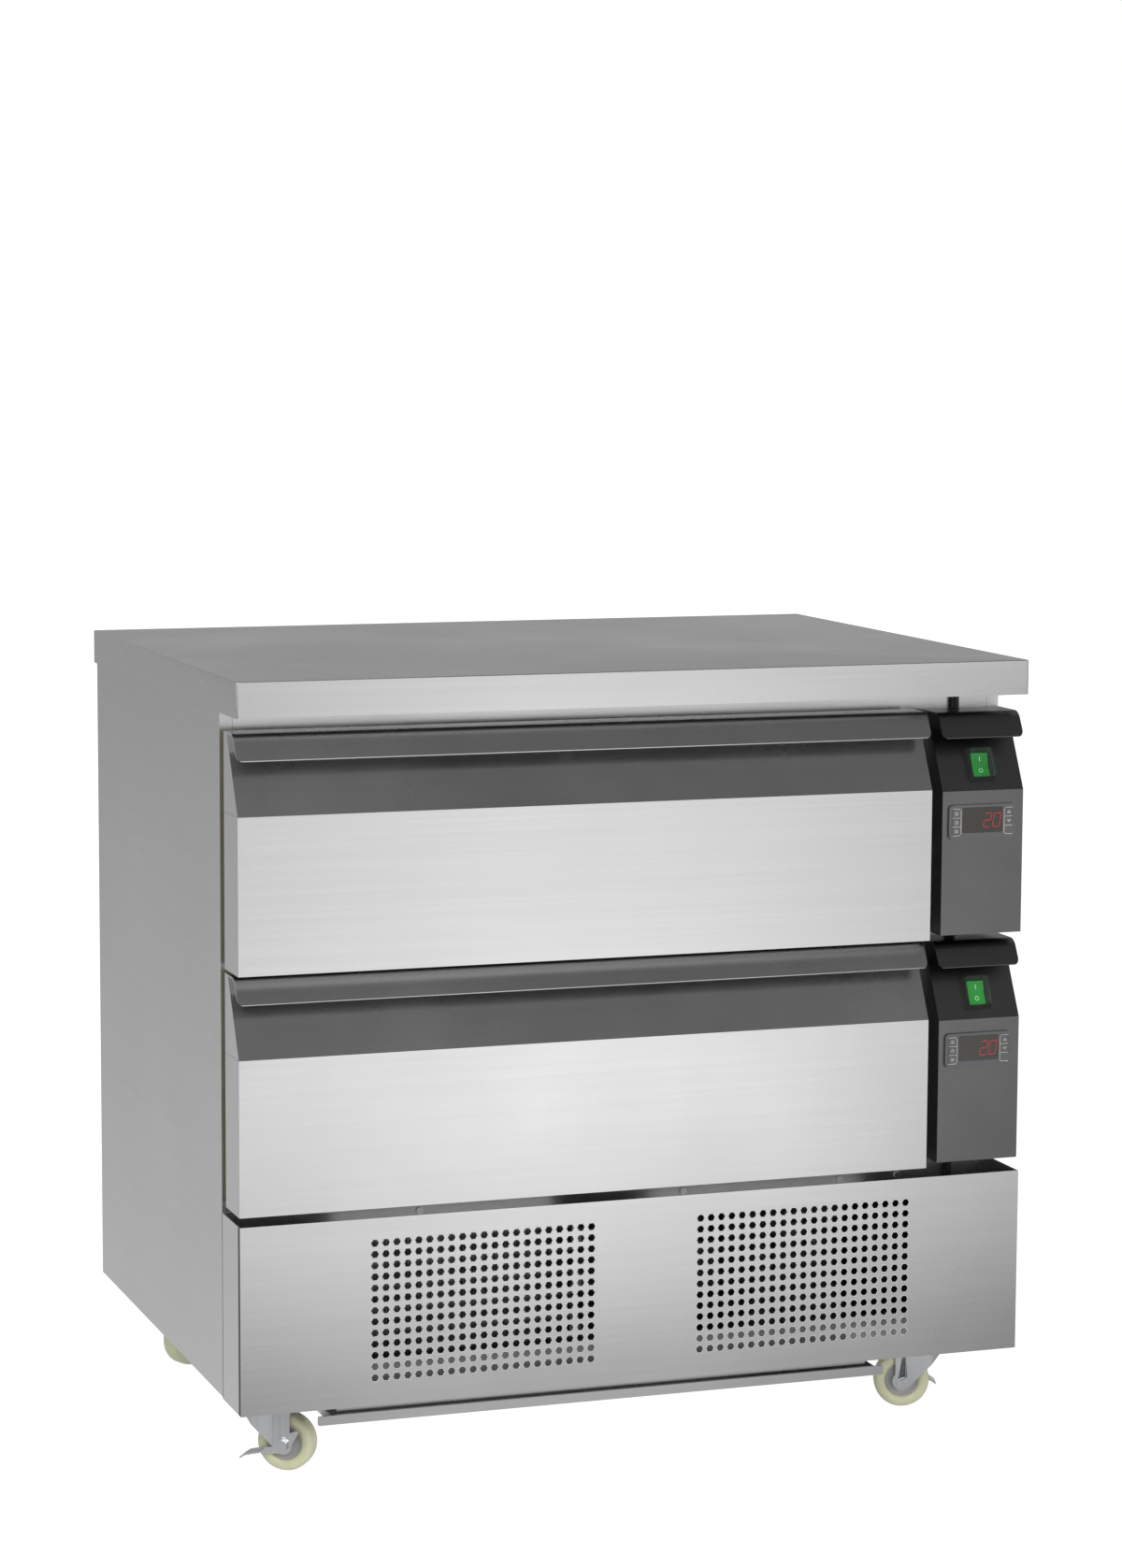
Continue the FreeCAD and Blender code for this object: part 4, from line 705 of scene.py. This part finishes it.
def tube_tree():
    """A round tube along a path."""
    tree, entry, leave = open_tree("TubeRun", [("Finish", "Material"), ("Tube Radius", "Float")])
    section = add(tree, "GeometryNodeCurvePrimitiveCircle", Resolution=16)
    link(tree, entry.outputs["Tube Radius"], section.inputs["Radius"])
    sweep = add(tree, "GeometryNodeCurveToMesh")
    sweep.inputs["Fill Caps"].default_value = True
    link(tree, entry.outputs["Geometry"], sweep.inputs["Curve"])
    link(tree, section.outputs["Curve"], sweep.inputs["Profile Curve"])
    smooth = add(tree, "GeometryNodeSetShadeSmooth")
    link(tree, sweep.outputs["Mesh"], smooth.inputs["Geometry"])
    return close_tree(tree, entry, leave, smooth.outputs["Geometry"])


RIMS = rim_tree()
PLATES = plate_tree()
TUBES = tube_tree()


def grow(name, tree, values, look, body, source=None):
    """Runs a tree on a source and keeps what it makes as a plain mesh."""
    base = bpy.data.objects.new(name + "_source", source or bpy.data.meshes.new(name + "_source"))
    bpy.context.scene.collection.objects.link(base)
    nodes = base.modifiers.new("Nodes", "NODES")
    nodes.node_group = tree
    sockets = {socket.name: socket.identifier for socket in tree.interface.items_tree
               if socket.in_out == "INPUT"}
    nodes[sockets["Finish"]] = LOOKS[look]
    for label, value in values.items():
        nodes[sockets[label]] = value
    bpy.context.view_layer.update()
    graph = bpy.context.evaluated_depsgraph_get()
    mesh = bpy.data.meshes.new_from_object(base.evaluated_get(graph))
    bpy.data.objects.remove(base)
    piece = bpy.data.objects.new(name, mesh)
    bpy.context.scene.collection.objects.link(piece)
    return settle(piece, body)


def path_curve(name, points):
    """An open path through a list of points."""
    curve = bpy.data.curves.new(name, "CURVE")
    curve.dimensions = "3D"
    spline = curve.splines.new("POLY")
    spline.points.add(len(points) - 1)
    for knot, point in zip(spline.points, points):
        knot.co = (*point, 1.0)
    return curve


def cover_rims():
    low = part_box("grille_panel")[0]
    middle_z = (HOLE_LOW + HOLE_STEP * (HOLE_ROWS - 1) / 2) * MM
    for side, first in (("left", HOLE_LEFT), ("right", HOLE_RIGHT)):
        middle_x = (first + HOLE_STEP * (HOLE_COLUMNS - 1) / 2) * MM
        grow("cover_hole_rims_" + side, RIMS,
             {"Columns": HOLE_COLUMNS, "Rows": HOLE_ROWS, "Step Across": HOLE_STEP * MM,
              "Step Up": HOLE_STEP * MM, "Middle": (middle_x, low.y, middle_z),
              "Corner Radius": (HOLE_FLATS / math.sqrt(3) + RIM_RADIUS * 0.6) * MM,
              "Rim Radius": RIM_RADIUS * MM}, "cut_edge", "cabinet")


def serpentine(low, high, y, rows, first_z, step):
    """Points of a tube that runs to and fro, with half-round turns at both ends."""
    points = []
    for row in range(rows):
        z = first_z + step * row
        ends = (low, high) if row % 2 == 0 else (high, low)
        points.append(Vector((ends[0], y, z)))
        points.append(Vector((ends[1], y, z)))
        if row < rows - 1:
            outward = 1 if ends[1] == high else -1
            for turn in range(1, 8):
                angle = math.pi * turn / 8 - math.pi / 2
                points.append(Vector((ends[1] + outward * math.cos(angle) * step / 2, y,
                                      z + step / 2 + math.sin(angle) * step / 2)))
    return points


def finned_condenser():
    """Close thin fins, serpentine tubes through them, end plates and feet."""
    low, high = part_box("condenser")
    fin_low = low.z + CONDENSER_FOOT * MM
    left = low.x + CONDENSER_END_INSET * MM
    right = high.x - CONDENSER_END_INSET * MM
    height = high.z - fin_low
    depth = high.y - low.y
    count = int((right - left) / (FIN_STEP * MM))
    fins = grow("condenser_fins", PLATES,
                {"Columns": count, "Rows": 1, "Step Across": FIN_STEP * MM, "Step Up": 0.0,
                 "Middle": ((left + right) / 2, (low.y + high.y) / 2, fin_low + height / 2),
                 "Plate": (FIN_SHEET * MM, height - 3 * MM, depth - 2 * MM), "Lean": 0.0},
                "aluminium", "cabinet")
    first = low.z + (CONDENSER_FOOT + CONDENSER_FIRST_TUBE) * MM
    for index, share in enumerate(CONDENSER_TUBE_PLACES):
        y = low.y + depth * share
        points = serpentine(left - 2 * MM, right + 2 * MM, y, CONDENSER_TUBE_ROWS, first,
                            CONDENSER_TUBE_STEP * MM)
        grow("condenser_tube_%d" % (index + 1), TUBES,
             {"Tube Radius": CONDENSER_TUBE_RADIUS * MM}, "aluminium", "cabinet",
             path_curve("condenser_tube_path", points))
    floor = low.z
    foot_front, foot_back = low.y + END_FOOT_INSET * MM, high.y - END_FOOT_INSET * MM
    corners = []
    faces = []
    for x in (left - END_PLATE_SHEET * MM, right):
        for x0, x1, y0, y1, z0, z1 in (
                (x, x + END_PLATE_SHEET * MM, low.y, high.y, floor, high.z),
                (x + END_FOOT_SPAN[0] * MM, x + END_FOOT_SPAN[1] * MM, foot_front, foot_back,
                 floor, floor + END_FOOT_SHEET * MM)):
            first = len(corners)
            corners += [Vector((x0, y0, z0)), Vector((x1, y0, z0)), Vector((x1, y1, z0)),
                        Vector((x0, y1, z0)), Vector((x0, y0, z1)), Vector((x1, y0, z1)),
                        Vector((x1, y1, z1)), Vector((x0, y1, z1))]
            faces += [[first + index for index in face] for face in
                      ((3, 2, 1, 0), (4, 5, 6, 7), (0, 1, 5, 4), (1, 2, 6, 5), (2, 3, 7, 6),
                       (3, 0, 4, 7))]
    mesh_piece("condenser_end_plates", corners, faces, "zinc", "cabinet")
    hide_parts("condenser")


def louvre_hoods():
    """Pressed hoods over the slots in the back panel."""
    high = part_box("back_panel")[1]
    middle_z = (LOUVRE_LOW + LOUVRE_STEP * (LOUVRE_ROWS - 1) / 2 + LOUVRE_SLOT_HEIGHT) * MM
    for side, left in LOUVRE_LEFT_EDGES:
        grow("louvre_hoods_" + side, PLATES,
             {"Columns": 1, "Rows": LOUVRE_ROWS, "Step Across": 0.0,
              "Step Up": LOUVRE_STEP * MM,
              "Middle": ((left + LOUVRE_SLOT_WIDTH / 2) * MM, high.y + HOOD_STANDOFF * MM,
                         middle_z),
              "Plate": (HOOD_WIDTH * MM, HOOD_HEIGHT * MM, HOOD_SHEET * MM),
              "Lean": HOOD_LEAN}, "steel_back", "cabinet")


def seams_and_painted_shade():
    """The dark joint between the cover and the side panels, and a dark strip of painted shade on each side of the
    cover, just behind its front fold.
    """
    low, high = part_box("grille_panel")
    height = (high.z - low.z) / MM
    for side, x in (("left", low.x), ("right", high.x)):
        sign = -1 if side == "left" else 1
        strokes = Strokes(Vector((x, low.y, low.z)), Vector((0, 1, 0)), Vector((0, 0, 1)),
                          Vector((sign, 0, 0)))
        # First the dark joint line, then the strip of painted shade behind the front fold
        for (start, end), top in ((COVER_JOINT, height),
                                  (COVER_SIDE_PAINTED_SHADE, height - SEAM_END_GAP)):
            strokes.plate([(start, SEAM_END_GAP), (end, SEAM_END_GAP), (end, top),
                           (start, top)])
        strokes.finish("cover_seam_and_shade_" + side, "seam_and_painted_shade", "cabinet", "stainless")


# Castor wheels


def lathe(name, centre, axis, profile, look, body, steps=64):
    """A turned ring: its closed profile lists (along the axis, radius) in millimetres."""
    side = axis.cross(Vector((0, 0, 1))).normalized()
    lift = side.cross(axis).normalized()
    corners = []
    faces = []
    for step in range(steps):
        angle = 2 * math.pi * step / steps
        ray = side * math.cos(angle) + lift * math.sin(angle)
        for along, radius in profile:
            corners.append(centre + (axis * along + ray * radius) * MM)
    count = len(profile)
    for step in range(steps):
        after = (step + 1) % steps
        for index in range(count):
            other = (index + 1) % count
            faces.append([step * count + index, step * count + other,
                          after * count + other, after * count + index])
    return mesh_piece(name, corners, faces, look, body, smooth=True)


def rounded_run(start, corner, end, radius, steps=5):
    """Points that turn a corner of a profile on a smooth curve."""
    start, corner, end = Vector(start), Vector(corner), Vector(end)
    first = corner + (start - corner).normalized() * radius
    last = corner + (end - corner).normalized() * radius
    points = []
    for step in range(steps + 1):
        share = step / steps
        point = first * (1 - share) ** 2 + corner * 2 * share * (1 - share) + last * share ** 2
        points.append(tuple(point))
    return points


def wheel(name):
    """A nylon tyre with rounded shoulders, and a grey hub with a ring groove in each face."""
    joint = next(one for one in frame["joints"] if one["name"] == name + "_wheel_roll")
    centre = Vector(joint["pos_m"])
    axis = Vector(joint["axis"]).normalized()
    low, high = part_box(name + "_wheel")
    radius = (high.z - low.z) / 2 / MM
    half = TYRE_HALF
    profile = [(-half + 2.6, 19.0), (-half + 0.5, 19.8)]
    profile += rounded_run((-half, TYRE_FOOT), (-half, radius), (0, radius), TYRE_SHOULDER)
    profile += rounded_run((0, radius), (half, radius), (half, TYRE_FOOT), TYRE_SHOULDER)
    profile += [(half - 0.5, 19.8), (half - 2.6, 19.0)]
    tyre = lathe(name + "_tyre", centre, axis, profile, "nylon", name + "_wheel")
    lathe(name + "_hub", centre, axis, HUB_OUTLINE, "hub", name + "_wheel")
    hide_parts(name + "_wheel")


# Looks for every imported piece


def is_boot(low, high):
    width, height = (high.x - low.x) / MM, (high.z - low.z) / MM
    return 1 if width < BOOT_WIDEST and height > BOOT_LOWEST else 0


def is_board(low, high):
    return 1 if (high.x - low.x) / MM > BOARD_NARROWEST else 0


def is_rail(low, high):
    return 1 if RAIL_WIDTHS[0] < (high.x - low.x) / MM < RAIL_WIDTHS[1] else 0


def is_thin(low, high):
    return 1 if (high.y - low.y) / MM < SHEET_THICKEST else 0


def is_plate(low, high):
    return 1 if (high.x - low.x) / MM < SHEET_THICKEST else 0


def dress_everything():
    for level in ("upper", "lower"):
        dress(level + "_drawer_skin", ["steel_front"])
        dress(level + "_drawer_core", ["foam", "steel_inner"], is_thin, rounding=0)
        dress(level + "_control_housing", ["black_coat"])
        dress(level + "_drawer_frame", ["steel_inner"], rounding=0.3)
        dress(level + "_drawer_gasket", ["rubber"], rounding=1.2)
        dress(level + "_rocker", ["green_lens"], rounding=0.6)
        paint(level + "_middle_slides", "slide")
        for name in KEY_ICONS:
            dress(level + "_" + name + "_key", ["grey_fascia"], rounding=0.25)
        paint(level + "_cold_fan", "black_plastic")
    dress("worktop", ["steel_front"])
    dress("side_panels", ["steel_side"], rounding=0.4)
    dress("back_panel", ["steel_back"], rounding=0.3)
    dress("face_frame", ["steel_front"], rounding=0.3)
    dress("drip_tray", ["steel_front"], rounding=0.4)
    dress("base_pan", ["steel_inner", "steel_front"], is_rail, rounding=0.4)
    paint("grille_panel", "steel_front")
    dress("controller_cases", ["grey_fascia"], rounding=0.9)
    dress("switch_frames", ["black_plastic", "boot"], is_boot, rounding=0.8)
    paint("display_windows", "window")
    paint("chamber_liners", "steel_inner")
    dress("insulation_boards", ["foam", "steel_inner"], is_board, rounding=0)
    paint("cabinet_slides", "slide")
    dress("castor_plates", ["zinc"], rounding=0.3)
    dress("fasteners", ["zinc"], rounding=0.3)
    paint("wiring_conduit", "black_plastic")
    dress("compressor", ["black_paint"], rounding=1.0)
    finned_condenser()
    cover_rims()
    louvre_hoods()
    # Dark joint lines beside the cover, and painted shade on the cover's sides
    seams_and_painted_shade()
    paint("condenser_fan", "black_plastic")
    dress("fan_motors", ["motor"], rounding=1.0)
    dress("evaporator_units", ["aluminium", "steel_inner"], is_plate, rounding=0)
    paint("refrigerant_pipes", "copper")
    dress("wiring_box", ["black_plastic"], rounding=1.0)
    for name in ("front_left", "front_right", "rear_left", "rear_right"):
        dress(name + "_fork", ["zinc"], rounding=0.5)
        wheel(name)
        if name.startswith("front"):
            dress(name + "_brake_lever", ["zinc"], rounding=0.4)


# Floor, light and camera


def scaled(tree, value, factor, offset=0.0):
    node = add(tree, "ShaderNodeMath", operation="MULTIPLY_ADD")
    link(tree, value, node.inputs[0])
    node.inputs[1].default_value = factor
    node.inputs[2].default_value = offset
    return node.outputs["Value"]


def combined(tree, operation, first, second):
    node = add(tree, "ShaderNodeMath", operation=operation)
    link(tree, first, node.inputs[0])
    link(tree, second, node.inputs[1])
    return node.outputs["Value"]


def tone_ramp(tree, value, stops):
    """Grey tones set out along a value from 0 to 1."""
    ramp = add(tree, "ShaderNodeValToRGB")
    link(tree, value, ramp.inputs["Fac"])
    elements = ramp.color_ramp.elements
    while len(elements) < len(stops):
        elements.new(0.5)
    for element, (place, tone) in zip(elements, stops):
        element.position = place
        element.color = (tone, tone, tone, 1)
    return ramp.outputs["Color"]


def mirrored_floor(tree):
    """How bright the floor looks in polished steel, by its place in front or behind."""
    place = add(tree, "ShaderNodeTexCoord")
    parts = add(tree, "ShaderNodeSeparateXYZ")
    link(tree, place.outputs["Object"], parts.inputs["Vector"])
    depth = scaled(tree, parts.outputs["Y"], -1.0, -COUNTER_FRONT)
    front = tone_ramp(tree, scaled(tree, depth, 1 / FLOOR_REACH),
                      [(reach / FLOOR_REACH, tone / FLOOR_PEAK) for reach, tone in FRONT_FLOOR])
    ridge = scaled(tree, depth, -LANE_DRIFT, LANE_START)
    aside = combined(tree, "ADD", parts.outputs["X"], ridge)
    spread = scaled(tree, depth, LANE_WIDENING, LANE_WIDTH)
    ratio = combined(tree, "DIVIDE", aside, spread)
    square = combined(tree, "MULTIPLY", ratio, ratio)
    bell = add(tree, "ShaderNodeMath", operation="EXPONENT")
    link(tree, scaled(tree, square, -0.5), bell.inputs[0])
    share = scaled(tree, bell.outputs["Value"], (1 - FLOOR_SIDE_SHARE) * FLOOR_PEAK,
                   FLOOR_SIDE_SHARE * FLOOR_PEAK)
    front_glow = combined(tree, "MULTIPLY", front, share)
    rear_glow = tone_ramp(tree, scaled(tree, parts.outputs["Y"], 1 / FLOOR_REACH),
                          [(reach / FLOOR_REACH, tone) for reach, tone in REAR_FLOOR])
    border = add(tree, "ShaderNodeMapRange", interpolation_type="SMOOTHSTEP")
    border.inputs["From Min"].default_value = -0.3
    border.inputs["From Max"].default_value = 0.0
    link(tree, parts.outputs["Y"], border.inputs["Value"])
    blend = add(tree, "ShaderNodeMix")
    link(tree, border.outputs["Result"], blend.inputs["Factor"])
    link(tree, front_glow, blend.inputs["A"])
    link(tree, rear_glow, blend.inputs["B"])
    return blend.outputs["Result"]


def make_floor():
    """A pale floor: white to the eye, and graded where steel mirrors it."""
    edge = FLOOR_EDGE
    mesh = bpy.data.meshes.new("floor")
    mesh.from_pydata([(-edge, -edge, 0), (edge, -edge, 0), (edge, edge, 0), (-edge, edge, 0)],
                     [], [(0, 1, 2, 3)])
    material, tree, surface = new_tree("PaleFloor")
    surface.inputs["Base Color"].default_value = (0.8, 0.8, 0.8, 1)
    surface.inputs["Roughness"].default_value = 0.9
    surface.inputs["Specular IOR Level"].default_value = 0.0
    output = tree.nodes["Material Output"]
    mirror_glow = add(tree, "ShaderNodeEmission")
    link(tree, mirrored_floor(tree), mirror_glow.inputs["Strength"])
    seen_glow = add(tree, "ShaderNodeEmission")
    seen_glow.inputs["Strength"].default_value = FLOOR_GLOW
    seen = add(tree, "ShaderNodeAddShader")
    link(tree, seen_glow.outputs["Emission"], seen.inputs[0])
    link(tree, surface.outputs["BSDF"], seen.inputs[1])
    path = add(tree, "ShaderNodeLightPath")
    for_mirrors = add(tree, "ShaderNodeMixShader")
    link(tree, path.outputs["Is Glossy Ray"], for_mirrors.inputs["Fac"])
    link(tree, surface.outputs["BSDF"], for_mirrors.inputs[1])
    link(tree, mirror_glow.outputs["Emission"], for_mirrors.inputs[2])
    for_camera = add(tree, "ShaderNodeMixShader")
    link(tree, path.outputs["Is Camera Ray"], for_camera.inputs["Fac"])
    link(tree, for_mirrors.outputs["Shader"], for_camera.inputs[1])
    link(tree, seen.outputs["Shader"], for_camera.inputs[2])
    link(tree, for_camera.outputs["Shader"], output.inputs["Surface"])
    mesh.materials.append(material)
    floor = bpy.data.objects.new("floor", mesh)
    bpy.context.scene.collection.objects.link(floor)


def make_world():
    """A studio round the object: bright low in front, dim overhead, grey behind."""
    world = bpy.data.worlds.new("Studio")
    world.use_nodes = True
    bpy.context.scene.world = world
    tree = world.node_tree
    background = tree.nodes["Background"]
    place = add(tree, "ShaderNodeTexCoord")
    unit = add(tree, "ShaderNodeVectorMath", operation="NORMALIZE")
    parts = add(tree, "ShaderNodeSeparateXYZ")
    link(tree, place.outputs["Generated"], unit.inputs[0])
    link(tree, unit.outputs["Vector"], parts.inputs["Vector"])
    height = parts.outputs["Z"]
    front_tone = tone_ramp(tree, height, FRONT_STUDIO)
    back_tone = tone_ramp(tree, height, REAR_STUDIO)
    side = add(tree, "ShaderNodeMapRange", interpolation_type="SMOOTHSTEP")
    side.inputs["From Min"].default_value = -0.35
    side.inputs["From Max"].default_value = 0.35
    link(tree, parts.outputs["Y"], side.inputs["Value"])
    blend = add(tree, "ShaderNodeMix", data_type="RGBA")
    link(tree, side.outputs["Result"], blend.inputs["Factor"])
    link(tree, front_tone, blend.inputs["A"])
    link(tree, back_tone, blend.inputs["B"])
    link(tree, blend.outputs["Result"], background.inputs["Color"])
    white = add(tree, "ShaderNodeBackground")
    white.inputs["Color"].default_value = (1, 1, 1, 1)
    path = add(tree, "ShaderNodeLightPath")
    choose = add(tree, "ShaderNodeMixShader")
    link(tree, path.outputs["Is Camera Ray"], choose.inputs["Fac"])
    link(tree, background.outputs["Background"], choose.inputs[1])
    link(tree, white.outputs["Background"], choose.inputs[2])
    link(tree, choose.outputs["Shader"], tree.nodes["World Output"].inputs["Surface"])


def area_light(name, place, target, size, power, mirrored):
    data = bpy.data.lights.new(name, "AREA")
    data.energy = power
    data.shape = "DISK"
    data.size = size
    lamp = bpy.data.objects.new(name, data)
    lamp.location = place
    lamp.rotation_mode = "QUATERNION"
    lamp.rotation_quaternion = (Vector(target) - Vector(place)).to_track_quat("-Z", "Y")
    lamp.visible_glossy = mirrored
    bpy.context.scene.collection.objects.link(lamp)


def make_camera():
    data = bpy.data.cameras.new("Camera")
    data.lens = CAMERA_LENS
    data.sensor_width = 36.0
    data.sensor_fit = "AUTO"
    data.clip_end = 200.0
    camera = bpy.data.objects.new("Camera", data)
    level = math.cos(CAMERA_PITCH)
    forward = Vector((math.sin(CAMERA_YAW) * level, math.cos(CAMERA_YAW) * level,
                      -math.sin(CAMERA_PITCH)))
    right = forward.cross(Vector((0, 0, 1))).normalized()
    up = right.cross(forward)
    turned_right = right * math.cos(CAMERA_ROLL) + up * math.sin(CAMERA_ROLL)
    turned_up = up * math.cos(CAMERA_ROLL) - right * math.sin(CAMERA_ROLL)
    rotation = Matrix((turned_right, turned_up, -forward)).transposed()
    camera.matrix_world = Matrix.Translation(CAMERA_PLACE) @ rotation.to_4x4()
    bpy.context.scene.collection.objects.link(camera)
    bpy.context.scene.camera = camera


make_camera()
make_world()
make_floor()
area_light("key", (-2.2, -3.4, 2.6), (0, 0, 0.45), 1.6, 60.0, True)
area_light("low_fill", (0.6, -3.0, 0.5), (0, 0, 0.2), 1.2, 18.0, False)
dress_everything()
for storey in ("upper", "lower"):
    controller_marks(storey)
    rocker_marks(storey)

bpy.context.scene.view_settings.view_transform = "Standard"
